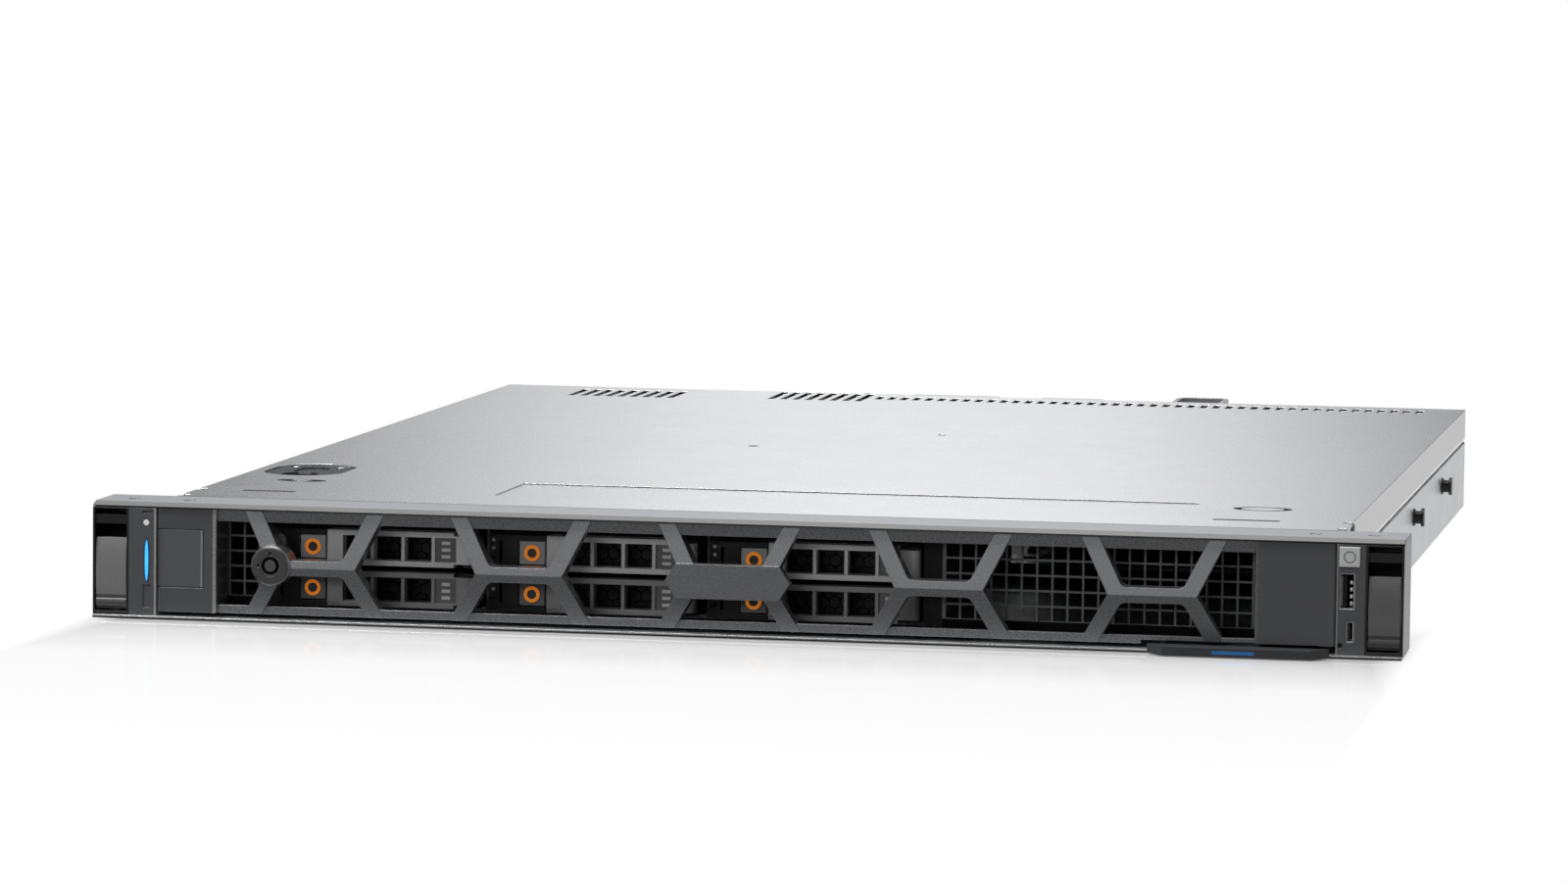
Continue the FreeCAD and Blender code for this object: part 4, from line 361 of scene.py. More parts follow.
def screw_heads(build, given):
    """Cylinder head with a sunk socket, on every place."""
    drum = build.add("GeometryNodeMeshCylinder", {"Vertices": given["Sides"], "Radius": given["Radius"],
                                                  "Depth": given["Height"]})
    rim = build.add("GeometryNodeExtrudeMesh", {"Mesh": drum.outputs["Mesh"], "Offset Scale": 0.0,
                                                "Selection": drum.outputs["Top"]})
    small = build.add("GeometryNodeScaleElements", {"Geometry": rim.outputs["Mesh"], "Scale": given["Socket"],
                                                    "Selection": rim.outputs["Top"]}).outputs[0]
    depth = build.math("MULTIPLY", given["Height"], -0.7)
    sunk = build.add("GeometryNodeExtrudeMesh", {"Mesh": small, "Selection": rim.outputs["Top"],
                                                 "Offset Scale": depth}).outputs["Mesh"]
    return build.copies(given["Places"], sunk, Rotation=turned_to(build, given["Facing"]))


def rivet_domes(build, given):
    """Low dome on every place."""
    ball = build.add("GeometryNodeMeshUVSphere", {"Segments": given["Sides"], "Rings": 8,
                                                  "Radius": given["Radius"]}).outputs[0]
    scale = build.add("ShaderNodeCombineXYZ", {0: 1.0, 1: 1.0, 2: given["Flat"]}).outputs[0]
    return build.copies(given["Places"], ball, Scale=scale, Rotation=turned_to(build, given["Facing"]))


def block_rows(build, given):
    """Row of blocks from every place."""
    line = build.add("GeometryNodeMeshLine", {"Count": given["Count"], "Offset": given["Step"]}).outputs[0]
    block = build.add("GeometryNodeMeshCube", {"Size": given["Size"]}).outputs[0]
    return build.copies(given["Places"], build.copies(line, block))


def hex_net(build, given):
    """Upright sheet of hexagonal cells, centred on every place."""
    columns, rows, across = given["Columns"], given["Rows"], given["Pitch"]
    up = build.math("MULTIPLY", across, math.sqrt(0.75))
    width = build.math("MULTIPLY", build.math("SUBTRACT", columns, 1.0), across)
    height = build.math("MULTIPLY", build.math("SUBTRACT", rows, 1.0), up)
    grid = build.add("GeometryNodeMeshGrid", {"Size X": width, "Size Y": height, "Vertices X": columns,
                                              "Vertices Y": rows}).outputs[0]
    level = build.axes(build.add("GeometryNodeInputPosition").outputs[0])[1]
    from_foot = build.math("ADD", level, build.math("MULTIPLY", height, 0.5))
    row = build.math("ROUND", build.math("DIVIDE", from_foot, up))
    swing = build.math("SUBTRACT", build.math("MODULO", row, 2.0), 0.5)
    shift = build.math("MULTIPLY", swing, build.math("MULTIPLY", across, 0.5))
    offset = build.add("ShaderNodeCombineXYZ", {0: shift}).outputs[0]
    moved = build.add("GeometryNodeSetPosition", {"Geometry": grid, "Offset": offset}).outputs[0]
    radius = build.math("DIVIDE", across, math.sqrt(3.0))
    ring = build.add("GeometryNodeMeshCircle", {"Vertices": 6, "Radius": radius}).outputs[0]
    ring = build.add("GeometryNodeTransform", {"Geometry": ring, "Rotation": (0.0, 0.0, math.pi / 6)})
    path = build.add("GeometryNodeMeshToCurve", {"Mesh": ring.outputs[0]}).outputs[0]
    profile = build.add("GeometryNodeCurvePrimitiveQuadrilateral", {"Width": given["Bar"],
                                                                    "Height": given["Thick"]}).outputs[0]
    wire = build.add("GeometryNodeCurveToMesh", {"Curve": path, "Profile Curve": profile}).outputs[0]
    flat = build.add("GeometryNodeRealizeInstances", {0: build.copies(moved, wire)}).outputs[0]
    upright = build.add("GeometryNodeTransform", {"Geometry": flat, "Rotation": (math.pi / 2, 0.0, 0.0)})
    return build.copies(given["Places"], upright.outputs[0])


def chip_scatter(build, given):
    """Small packages strewn over the faces given as places."""
    spread = {"Mesh": given["Places"], "Density Max": given["Density"], "Distance Min": given["Spacing"],
              "Seed": given["Seed"]}
    strewn = build.add("GeometryNodeDistributePointsOnFaces", spread, distribute_method="POISSON")
    size = build.add("FunctionNodeRandomValue", {0: given["Smallest"], 1: given["Largest"],
                                                 "Seed": given["Seed"]}, data_type="FLOAT_VECTOR").outputs[0]
    quarter = build.add("FunctionNodeRandomValue", {4: 0, 5: 1, "Seed": given["Seed"]},
                        data_type="INT").outputs[2]
    turn = build.add("ShaderNodeCombineXYZ", {2: build.math("MULTIPLY", quarter, math.pi / 2)}).outputs[0]
    block = build.add("GeometryNodeMeshCube", {"Size": (1.0, 1.0, 1.0)}).outputs[0]
    return build.copies(strewn.outputs["Points"], block, Scale=size, Rotation=turn)


def can_rows(build, given):
    """Upright cans, such as capacitors, on every place."""
    can = build.add("GeometryNodeMeshCylinder", {"Vertices": given["Sides"], "Radius": given["Radius"],
                                                 "Depth": given["Height"]}).outputs["Mesh"]
    return build.copies(given["Places"], can)


UP = (0.0, 0.0, 1.0)
GROWTHS = {
    "screws": growth("screws", {"Radius": 0.003, "Height": 0.001, "Socket": 0.45, "Sides": 20, "Facing": UP},
                     screw_heads),
    "rivets": growth("rivets", {"Radius": 0.002, "Flat": 0.4, "Sides": 16, "Facing": UP}, rivet_domes),
    "rows": growth("rows", {"Count": 4, "Step": (0.001, 0.0, 0.0), "Size": (0.001, 0.001, 0.001)},
                   block_rows),
    "net": growth("net", {"Columns": 6, "Rows": 3, "Pitch": 0.004, "Bar": 0.0004, "Thick": 0.0004},
                  hex_net),
    "chips": growth("chips", {"Density": 4000.0, "Spacing": 0.004, "Seed": 7,
                              "Smallest": (0.001, 0.001, 0.001), "Largest": (0.003, 0.003, 0.001)},
                    chip_scatter),
    "cans": growth("cans", {"Radius": 0.003, "Height": 0.008, "Sides": 20}, can_rows),
}


def keep_mesh(name, mesh, body):
    """Puts a finished mesh in the scene as a piece that rides on a body."""
    mesh.name = name
    piece = bpy.data.objects.new(name, mesh)
    bpy.context.scene.collection.objects.link(piece)
    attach(piece, body)


def grow(name, kind, places, material, body, slot, faces=(), **values):
    """Piece grown over places, and frozen to a plain mesh."""
    seed = bpy.data.meshes.new(name)
    seed.from_pydata([tuple(place) for place in places], [], faces)
    holder = bpy.data.objects.new(name + "_places", seed)
    bpy.context.scene.collection.objects.link(holder)
    modifier = holder.modifiers.new("growth", "NODES")
    modifier.node_group = GROWTHS[kind]
    items = GROWTHS[kind].interface.items_tree
    sockets = {item.name: item.identifier for item in items if item.in_out == "INPUT"}
    for label, value in {**values, "Material": material}.items():
        modifier[sockets[label]] = value
    bpy.context.view_layer.update()
    mesh = bpy.data.meshes.new_from_object(holder.evaluated_get(bpy.context.evaluated_depsgraph_get()))
    bpy.data.objects.remove(holder)
    keep_mesh(name, mesh, body)


# ---------------------------------------------------------------- sizes of marks and small pieces
# On the cover, from its left, right or front edge, or down from its top.
PRESSED_INSETS = 107 * MM, 59 * MM       # pressed area, from the left and the right
PRESSED_REAR = 88.4 * MM
PRESSED_LINE = 0.6 * MM                  # half the width of its edge line, painted dark as shade
SLOPE_DROP = 0.1 * MM                    # the edge's slope starts this far down
DISH_DROP, SKIN_DROP = 6.8 * MM, 0.4 * MM    # between these the cover is the inside of the dish, painted dark as shade
DISH_REACH = 24 * MM
SLOT_DROP = 0.2 * MM                     # lower than this, the rear is the walls of the vent slots, painted dark as shade
SLOT_FIELD, SLOT_MARGIN = (536.15 * MM, 555.65 * MM), 1.5 * MM
FLANGE_INSET = 0.7 * MM
FLANGE_EDGE = 0.8 * MM                   # painted highlight along the lower edge of the right flange
LOCK_MARK, LOCK_SQUASH = 4.6 * MM, 2.1
LEFT_BAR = (17.5 * MM, 26.6 * MM), (37.5 * MM, 31.2 * MM)
RIGHT_BAR = (51 * MM, 25.6 * MM), (26.5 * MM, 30.4 * MM)
OVAL_PLACE, OVAL_RADII, OVAL_SQUASH = (37.5 * MM, 72 * MM), (5.4 * MM, 7.4 * MM), 1.5
RIM_PLACE, RIM_RADII, RIM_SQUASH = (116 * MM, 343.15 * MM), (3.4 * MM, 4.4 * MM), 1.4
SPOTS = (165.7 * MM, 276.15 * MM, 2.2 * MM, 60), (231.5 * MM, 351.75 * MM, 1.7 * MM, 84)
COVER_END = 0.5 * MM                     # front end of the cover's sheet, painted dark as shade

# On the hood, the pan and the drive cage.
# depth of the hood's front bevel, which is painted darker as shade, and the skin left at its top
HOOD_BEVEL, HOOD_SKIN = 4.4 * MM, 0.05 * MM
LIP_TOP = 0.6 * MM                       # top of the dark line along the pan's front, a painted shadow where it meets the floor
STUD_MARK = 2.6 * MM
STUD_ROWS = {-80.75: (-204, -124, 46, 202), 69.25: (-204, -114.6, 46, 202), 247.25: (-132, 46)}
CAGE_MOUTH = 12 * MM

# On the bezel and the panels beside it.
LEFT_BLOCK, RIGHT_BLOCK = 22.1 * MM, 28.9 * MM
BLOCK_HIGHLIGHT = 1.3 * MM                   # width of a block's softened edge, lightened by a painted highlight
# widths of painted highlights along edges of the bezel, its tab and the panels beside it
PAINTED_HIGHLIGHT, THIN_PAINTED_HIGHLIGHT = 0.7 * MM, 0.6 * MM
LOCK_CORE = 3.995 * MM                   # height of its middle above its foot
ROSETTE_RADII = 6.9 * MM, 7.7 * MM
KEYWAY_RADII = 2.1 * MM, 3.4 * MM
STATUS_DOT_INSET, STATUS_DOT_DROP, STATUS_DOT = 6.6 * MM, 6.3 * MM, 1.1 * MM
LATCH_TOE = 5.2 * MM
LIGHT_REACH, LIGHT_SQUASH = 7.4 * MM, 0.085
POWER_RADII = 1.7 * MM, 2.2 * MM
USB_WALL, USB_DROPS = 1.0 * MM, (12.35 * MM, 0.75 * MM)
MICRO_INSETS, MICRO_RISES = (2.15 * MM, 0.95 * MM), (0.8 * MM, 6.8 * MM)
TAG_BAR_ENDS, TAG_BAR_RISES, TAG_BAR_DEPTH = (24 * MM, 39 * MM), (0.9 * MM, 2.1 * MM), 3 * MM

# On the drives and the grilles.
LOWER_ROW_SHADE = 0.68                         # painted shade: share of the upper row's tones that the lower row's handles and buttons take
CARRIER_FACE = 13 * MM
LABEL_ENDS, LABEL_MARGIN = (15.5 * MM, 7 * MM), 2.05 * MM
LABEL_SINK = 0.5 * MM, 1.0 * MM          # depth of the label field behind the handle's front
BAR_ENDS, BAR_HEIGHT, BAR_RISES = (12.6 * MM, 9.4 * MM), 1.2 * MM, (3.4 * MM, 5.9 * MM, 8.4 * MM)
RING_RADII = 1.75 * MM, 3.0 * MM
HANDLE_BACK = 6.15 * MM                  # between a handle's back and its carrier's block
NET_MIDDLE = 45.25 * MM                  # middle of the windows from the carrier's left end
NET_CELL = 4.2 * MM
PIPE_INSET, PIPE_SINK, PIPE_DROPS = 1.9 * MM, 4.0 * MM, (2.4 * MM, 5.4 * MM)
GRILLE_RIMS = 4.6 * MM, 4.3 * MM         # plain bands under and over the cells, painted dark as shade

# Inside and at the rear.
MODULE_INSET, MODULE_PITCH = 3.2 * MM, 9.5 * MM
MODULE_HALF = 0.75 * MM                  # half the thickness of a module's board
SOCKET_RISE = 5.4 * MM
CASE_LENGTH = 190 * MM                   # power supply's case
INLET_ENDS, INLET_DEPTHS = (2.4 * MM, 19.6 * MM), (18 * MM, 0.4 * MM)
STRAP_START, STRAP_DROP = 3 * MM, 5.3 * MM
PORT_FRONT, PORT_FLOOR, PORT_BACK, PORT_ROOF = 1 * MM, 1.8 * MM, 7 * MM, 3 * MM
NETWORK_INSET, NETWORK_PITCH, NETWORK_RISE = 20.9 * MM, 17.5 * MM, 11.4 * MM
USB_INSET, USB_RISES = 4.2 * MM, (3.05 * MM, 11.05 * MM)
PIN_INSET, PIN_STEP, PIN_RISE, PIN_PITCH = 63.4 * MM, 0.4 * MM, 4.1 * MM, 2.05 * MM
PANEL_SCREW_PLACES = (52, 8), (52, 36), (-127.6, 33)
DIMPLE_INSETS, DIMPLE_DROP = (12 * MM, 33 * MM), 0.35 * MM
CHIP_FIELDS = (-205, -166, -60, 235), (-98, -54, 96, 250), (70, 205, -82, 40), (-12, 46, -60, 84)
CAN_COLUMNS, CAN_ROWS, CAN_HEIGHT = (72, 80, 88), (52, 60, 68), 8 * MM
POST_INSET, POST_RISE = 7 * MM, 12.6 * MM


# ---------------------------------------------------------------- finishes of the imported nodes
ORANGE, TOUCH_BLUE = tone(250, 142, 42), tone(52, 108, 168)
STEEL = tone(150, 151, 153)
PLATED = finish("plated_screw", tone(176), 0.3, metallic=0.9, edge_light=0.3)


def cover_finish():
    """Coated cover with its plain printed marks, and painted shade along the pressed area's edge, inside
    the dish and the vent slots and on its front end; its right flange is painted darker as shade, with a
    painted highlight along its lower edge.
    """
    (left, front, _), (right, _, top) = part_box("top_cover")
    dish = middle("cover_latch")
    step = front + PRESSED_REAR
    dish_low = (dish[0] - DISH_REACH, dish[1] - DISH_REACH, top - DISH_DROP)
    dish_high = (dish[0] + DISH_REACH, dish[1] + DISH_REACH, top - SKIN_DROP)
    left_low, left_high = LEFT_BAR
    right_low, right_high = RIGHT_BAR
    oval = (right - OVAL_PLACE[0], front + OVAL_PLACE[1], 0.0)
    rim = (left + RIM_PLACE[0], front + RIM_PLACE[1], 0.0)
    marks = [
        # painted shade along the edge of the pressed area
        (box_mask((left + PRESSED_INSETS[0], step - PRESSED_LINE, None),
                  (right - PRESSED_INSETS[1], step + PRESSED_LINE, top - SLOPE_DROP)), tone(40)),
        # painted shade inside the dish round the lever
        (box_mask(dish_low, dish_high), tone(44)),
        (disc_mask(middle("cover_lock"), LOCK_MARK, squash=LOCK_SQUASH), tone(44)),
        (box_mask((left + left_low[0], front + left_low[1], None),
                  (left + left_high[0], front + left_high[1], None)), tone(72)),
        (ring_mask(oval, *OVAL_RADII, OVAL_SQUASH, "Z"), tone(44)),
        (box_mask((right - right_low[0], front + right_low[1], None),
                  (right - right_high[0], front + right_high[1], None)), tone(92)),
        *((disc_mask((left + inset, front + back, 0.0), radius), tone(level))
          for inset, back, radius, level in SPOTS),
        (ring_mask(rim, *RIM_RADII, RIM_SQUASH, "Z"), tone(200)),
        # painted shade on the front end of the sheet
        (box_mask(high=(None, front + COVER_END, None)), tone(70)),
        # painted shade on the walls of the vent slots
        (box_mask((left + SLOT_MARGIN, front + SLOT_FIELD[0], None),
                  (right - SLOT_MARGIN, front + SLOT_FIELD[1], top - SLOT_DROP)), tone(60))]
    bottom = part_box("top_cover")[0][2]
    flange = (right - FLANGE_INSET, None, None)
    # The right flange is painted darker than the top as shade, with a painted highlight along its lower edge.
    flange_shade_and_highlight = [(box_mask(flange, (None, None, top - SKIN_DROP)), tone(206), 0.34),
             (box_mask(flange, (None, None, bottom + FLANGE_EDGE)), tone(255), 0.2)]
    paint("top_cover", finish("cover_coating", tone(228, 229, 233), 0.28, metallic=0.94, edge=0.0005,
                              drift=0.03, grain=0.04, grain_scale=1500.0, dust=0.05, patches=flange_shade_and_highlight,
                              print_and_painted_shade=marks))


def sheet_finishes():
    """Hood, pan, cage, panels, and their studs and screws, with painted shade on the hood's front bevel
    and in the cage's mouth, and a painted shadow line along the pan's front.
    """
    low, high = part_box("front_hood")
    # The hood's front bevel is painted darker: painted shade.
    bevel = box_mask(high=(None, low[1] + HOOD_BEVEL, high[2] - HOOD_SKIN))
    paint("front_hood", finish("hood_coating", tone(160, 161, 164), 0.46, metallic=0.55, edge=0.0003,
                               drift=0.03, grain=0.05, grain_scale=1500.0, edge_light=0.0,
                               patches=[(bevel, tone(112), 0.5)]))
    studs = [(disc_mask((x * MM, y * MM, 0.0), STUD_MARK), tone(150), 0.5)
             for y, row in STUD_ROWS.items() for x in row]
    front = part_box("bezel")[0][1]
    # A dark line along the foot of the pan's front, a painted shadow at the floor, and the front a little
    # darker above it.
    lip = [(box_mask(high=(None, front, LIP_TOP)), tone(52), 0.5),
           (box_mask((None, None, LIP_TOP), (None, front, None)), tone(190), 0.3)]
    paint("chassis_tray", finish("zinc_pan", tone(212, 214, 217), 0.34, metallic=0.8, drift=0.04,
                                 zinc=0.05, patches=studs + lip))
    sheet = finish("zinc_sheet", tone(186, 188, 191), 0.38, metallic=0.75, drift=0.04, zinc=0.06)
    for node in ("rear_panel", "rear_blanks"):
        paint(node, sheet)
    paint("psu_cage", finish("zinc_cage", STEEL, 0.4, metallic=0.7, zinc=0.06))
    # The cage's front, behind the bezel, is painted dark as shade.
    shaded_mouth = box_mask(high=(None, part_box("drive_cage")[0][1] + CAGE_MOUTH, None))
    paint("drive_cage", finish("cage_sheet", STEEL, 0.42, metallic=0.6, zinc=0.05,
                               patches=[(shaded_mouth, tone(40), 0.5)]))
    paint("rail_studs", finish("oxide_stud", tone(48), 0.35, metallic=0.8, edge_light=0.4))
    paint("case_screws", PLATED)


def bezel_finishes():
    """Bezel with its darker end blocks, its release tab and its lock, and painted highlights along the
    blocks' inner edges, the bezel's left end and the tab's right edge.
    """
    low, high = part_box("bezel")
    lock = Vector((middle("bezel_lock")[0], low[1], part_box("bezel_lock")[0][2] + LOCK_CORE))
    left_block, right_block = low[0] + LEFT_BLOCK, high[0] - RIGHT_BLOCK
    block_patches_and_highlights = [(box_mask(high=(left_block, None, None)), tone(104, 105, 107), 0.4),
              (box_mask((right_block, None, None)), tone(104, 105, 107), 0.4),
              # painted highlights on the inner edges of the end blocks and on the bezel's left end
              (box_mask((left_block - BLOCK_HIGHLIGHT, None, None), (left_block, None, None)), tone(188), 0.25),
              (box_mask((right_block, None, None), (right_block + BLOCK_HIGHLIGHT, None, None)), tone(120), 0.25),
              (box_mask(high=(low[0] + PAINTED_HIGHLIGHT, None, None)), tone(188), 0.25),
              (disc_mask(lock, ROSETTE_RADII[1], "Y"), tone(92), 0.36),
              (ring_mask(lock, *ROSETTE_RADII), tone(135), 0.3)]
    paint("bezel", finish("bezel_paint", tone(136, 137, 139), 0.28, metallic=0.65, grain=0.05,
                          edge_light=0.15, patches=block_patches_and_highlights))
    # A painted highlight along the tab's right edge.
    edge = box_mask((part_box("bezel_tab")[1][0] - PAINTED_HIGHLIGHT, None, None))
    paint("bezel_tab", finish("tab_plastic", tone(92, 93, 95), 0.4, grain=0.1, edge_light=0.3,
                              patches=[(edge, tone(150), 0.3)]))
    paint("bezel_lock", finish("lock_metal", tone(98), 0.32, metallic=0.4, edge_light=0.3,
                               patches=[(ring_mask(lock, *KEYWAY_RADII), tone(8), 0.6)]))


def ear_finishes():
    """Ears, their latches, and the panels beside them with their light, button and sockets; painted
    highlights along the panels' edges, and the two latches painted lighter and darker as light and shade.
    """
    paint("ear_housings", finish("ear_plastic", tone(30, 30, 32), 0.34, grain=0.06, edge_light=0.3, coat=0.2))
    low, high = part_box("status_panel")
    dot = (low[0] + STATUS_DOT_INSET, 0.0, high[2] - STATUS_DOT_DROP)
    # A painted highlight along the status panel's right edge; the dot is the panel's own white mark.
    marks = [(box_mask((high[0] - PAINTED_HIGHLIGHT, None, None)), tone(170), 0.25),
             (disc_mask(dot, STATUS_DOT, "Y"), tone(255), 0.3)]
    paint("status_panel", finish("panel_plastic", tone(86, 87, 89), 0.36, grain=0.08, edge_light=0.25,
                                 patches=marks))
    # A painted highlight along the control panel's left edge.
    edge = box_mask(high=(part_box("control_panel")[0][0] + THIN_PAINTED_HIGHLIGHT, None, None))
    paint("control_panel", finish("control_plastic", tone(84, 85, 87), 0.36, grain=0.08, edge_light=0.25,
                                  patches=[(edge, tone(130), 0.25)]))
    toe = box_mask(high=(None, None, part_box("rack_latch_left")[0][2] + LATCH_TOE))
    # One plastic, painted lighter on the left latch and darker on the right: painted light and shade.
    for side, level in (("left", 128), ("right", 98)):
        paint(f"rack_latch_{side}", finish(f"latch_plastic_painted_light_{side}", tone(level), 0.28, grain=0.05,
                                           edge_light=0.3, coat=0.3, patches=[(toe, tone(level * 0.6), 0.4)]))
    core = middle("status_light")
    tips = ring_mask(core, LIGHT_REACH, 1.0, LIGHT_SQUASH)
    paint("status_light", finish("light_lens", tone(70, 186, 240), 0.3, edge_light=0.0,
                                 glow=(disc_mask(core, LIGHT_REACH, "Y", LIGHT_SQUASH), 0.75),
                                 patches=[(tips, tone(40, 118, 190), 0.3)]))
    ring = ring_mask(middle("power_button"), *POWER_RADII)
    paint("power_button", finish("power_cap", tone(205, 206, 206), 0.42, grain=0.08, edge_light=0.3,
                                 patches=[(ring, tone(120), 0.42)]))
    low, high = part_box("service_ports")
    usb = box_mask((low[0] + USB_WALL, None, high[2] - USB_DROPS[0]),
                   (high[0] - USB_WALL, None, high[2] - USB_DROPS[1]))
    micro = box_mask((high[0] - MICRO_INSETS[0], None, low[2] + MICRO_RISES[0]),
                     (high[0] - MICRO_INSETS[1], None, low[2] + MICRO_RISES[1]))
    paint("service_ports", finish("port_shell", tone(196), 0.3, metallic=0.4, edge_light=0.4,
                                  patches=[(usb, tone(14), 0.5), (micro, tone(14), 0.5)]))
    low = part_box("info_tag")[0]
    blue = box_mask((low[0] + TAG_BAR_ENDS[0], None, low[2] + TAG_BAR_RISES[0]),
                    (low[0] + TAG_BAR_ENDS[1], low[1] + TAG_BAR_DEPTH, low[2] + TAG_BAR_RISES[1]))
    paint("info_tag", finish("tag_plastic", tone(58, 59, 61), 0.36, grain=0.06, edge_light=0.35,
                             patches=[(blue, tone(48, 120, 190), 0.4)]))


def drive_finishes():
    """Carriers, their handles and the ringed buttons, with the lower row painted darker as shade and the
    rings given a faint glow of painted light, and the grilles with their rims painted dark as shade.
    """
    for number in DRIVE_NUMBERS:
        # The lower row's handles and buttons are painted darker, as shade.
        share = 1.0 if number <= DRIVES / 2 else LOWER_ROW_SHADE
        metal = box_mask((None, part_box(f"drive_{number}")[0][1] + CARRIER_FACE, None))
        paint(f"drive_{number}", finish(f"carrier_{number}", tone(34), 0.4, metallic=0.2, edge_light=0.3,
                                        patches=[(metal, STEEL, 0.35)]))
        low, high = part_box(f"drive_handle_{number}")
        near, far = (low[1] + sink for sink in LABEL_SINK)
        field = box_mask((high[0] - LABEL_ENDS[0], near, low[2] + LABEL_MARGIN),
                         (high[0] - LABEL_ENDS[1], far, high[2] - LABEL_MARGIN))
        bars = [box_mask((high[0] - BAR_ENDS[0], near, low[2] + rise),
                         (high[0] - BAR_ENDS[1], far, low[2] + rise + BAR_HEIGHT)) for rise in BAR_RISES]
        marks = [(field, tone(112), 0.5), *((bar, tone(224), 0.5) for bar in bars)]
        paint(f"drive_handle_{number}", finish(f"handle_{number}", tone(222 * share), 0.32, metallic=0.1,
                                               edge_light=0.3, grain=0.05, patches=marks))
        centre = middle(f"drive_button_{number}")
        ring = ring_mask(centre, *RING_RADII)
        marks = [(disc_mask(centre, RING_RADII[0], "Y"), tone(70), 0.4), (ring, ORANGE, 0.4)]
        # The orange ring glows faintly: painted light, as the button is no lamp.
        paint(f"drive_button_{number}", finish(f"button_{number}", tone(176 * share), 0.4, edge_light=0.3,
                                               patches=marks, glow=(ring, 0.3)))
    low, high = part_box("vent_grilles")
    # The plain bands above and below the cells are painted dark as shade.
    shaded_rims = [box_mask(high=(None, None, low[2] + GRILLE_RIMS[0])),
            box_mask((None, None, high[2] - GRILLE_RIMS[1]))]
    paint("vent_grilles", finish("grille_coating", tone(122, 124, 125), 0.42, metallic=0.2, edge_light=0.3,
                                 print_and_painted_shade=[(rim, tone(24)) for rim in shaded_rims]))


def inner_finishes():
    """Boards, heatsink, fans, duct and leads."""
    board = finish("solder_mask", tone(22, 74, 50), 0.36, drift=0.1, coat=0.3, edge=0.0002)
    for node in ("motherboard", "backplane", "riser_card", "power_board"):
        paint(node, board)
    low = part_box("memory_modules")[0]
    chips = [(beside_mask(low[0] + MODULE_INSET, MODULE_PITCH, MODULE_HALF), tone(26), 0.5),
             (box_mask(high=(None, None, low[2] + SOCKET_RISE)), tone(30), 0.45)]
    paint("memory_modules", finish("memory_board", tone(26, 66, 48), 0.36, drift=0.08, coat=0.3,
                                   patches=chips))
    paint("board_parts", finish("moulded_parts", tone(38, 38, 40), 0.42, grain=0.08))
    paint("heatsink", finish("sink_metal", tone(205, 206, 208), 0.3, metallic=0.95, zinc=0.04))
    paint("fan_frames", finish("fan_plastic", tone(30, 30, 32), 0.4, grain=0.08, edge_light=0.2))
    for number in range(1, FAN_ROTORS + 1):
        paint(f"fan_rotor_{number}", finish(f"rotor_plastic_{number}", tone(26, 26, 28), 0.3,
                                            edge_light=0.2))
    paint("air_shroud", finish("duct_plastic", tone(34, 34, 36), 0.4, grain=0.12, edge_light=0.2))
    paint("cables", finish("lead_jacket", tone(28, 28, 30), 0.5, grain=0.05))


def rear_finishes():
    """Power supply, sockets, clips and the cover's latch and lock."""
    low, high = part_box("psu")
    back = low[1] + CASE_LENGTH
    inlet = box_mask((low[0] + INLET_ENDS[0], back - INLET_DEPTHS[0], None),
                     (low[0] + INLET_ENDS[1], back - INLET_DEPTHS[1], None))
    strap = box_mask((None, back + STRAP_START, high[2] - STRAP_DROP))
    paint("psu", finish("supply_case", tone(172, 174, 177), 0.36, metallic=0.75, zinc=0.05,
                        patches=[(inlet, tone(22), 0.45), (box_mask((None, back, None)), tone(30), 0.38),
                                 (strap, tone(165), 0.4)]))
    paint("psu_latch", finish("release_plastic", ORANGE, 0.4, grain=0.08))
    low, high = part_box("rear_ports")
    inside = box_mask((None, low[1] + PORT_FRONT, low[2] + PORT_FLOOR),
                      (None, high[1] - PORT_BACK, high[2] - PORT_ROOF))
    paint("rear_ports", finish("socket_shell", tone(190), 0.28, metallic=0.9, edge_light=0.3,
                               patches=[(inside, tone(34), 0.5)]))
    paint("slot_latch", finish("clip_plastic", TOUCH_BLUE, 0.4, grain=0.08))
    paint("cover_latch", finish("lever_plastic", tone(46, 47, 49), 0.6, grain=0.08, edge_light=0.1))
    paint("cover_lock", finish("lock_disc", tone(150), 0.3, metallic=0.9, edge_light=0.4))


# ---------------------------------------------------------------- small pieces
FRONT, REAR = (0.0, -1.0, 0.0), (0.0, 1.0, 0.0)
GOLD = finish("contact_gold", tone(206, 172, 96), 0.28, metallic=0.95, edge_light=0.1)
CHIP = finish("chip_package", tone(32, 32, 34), 0.45, grain=0.06)


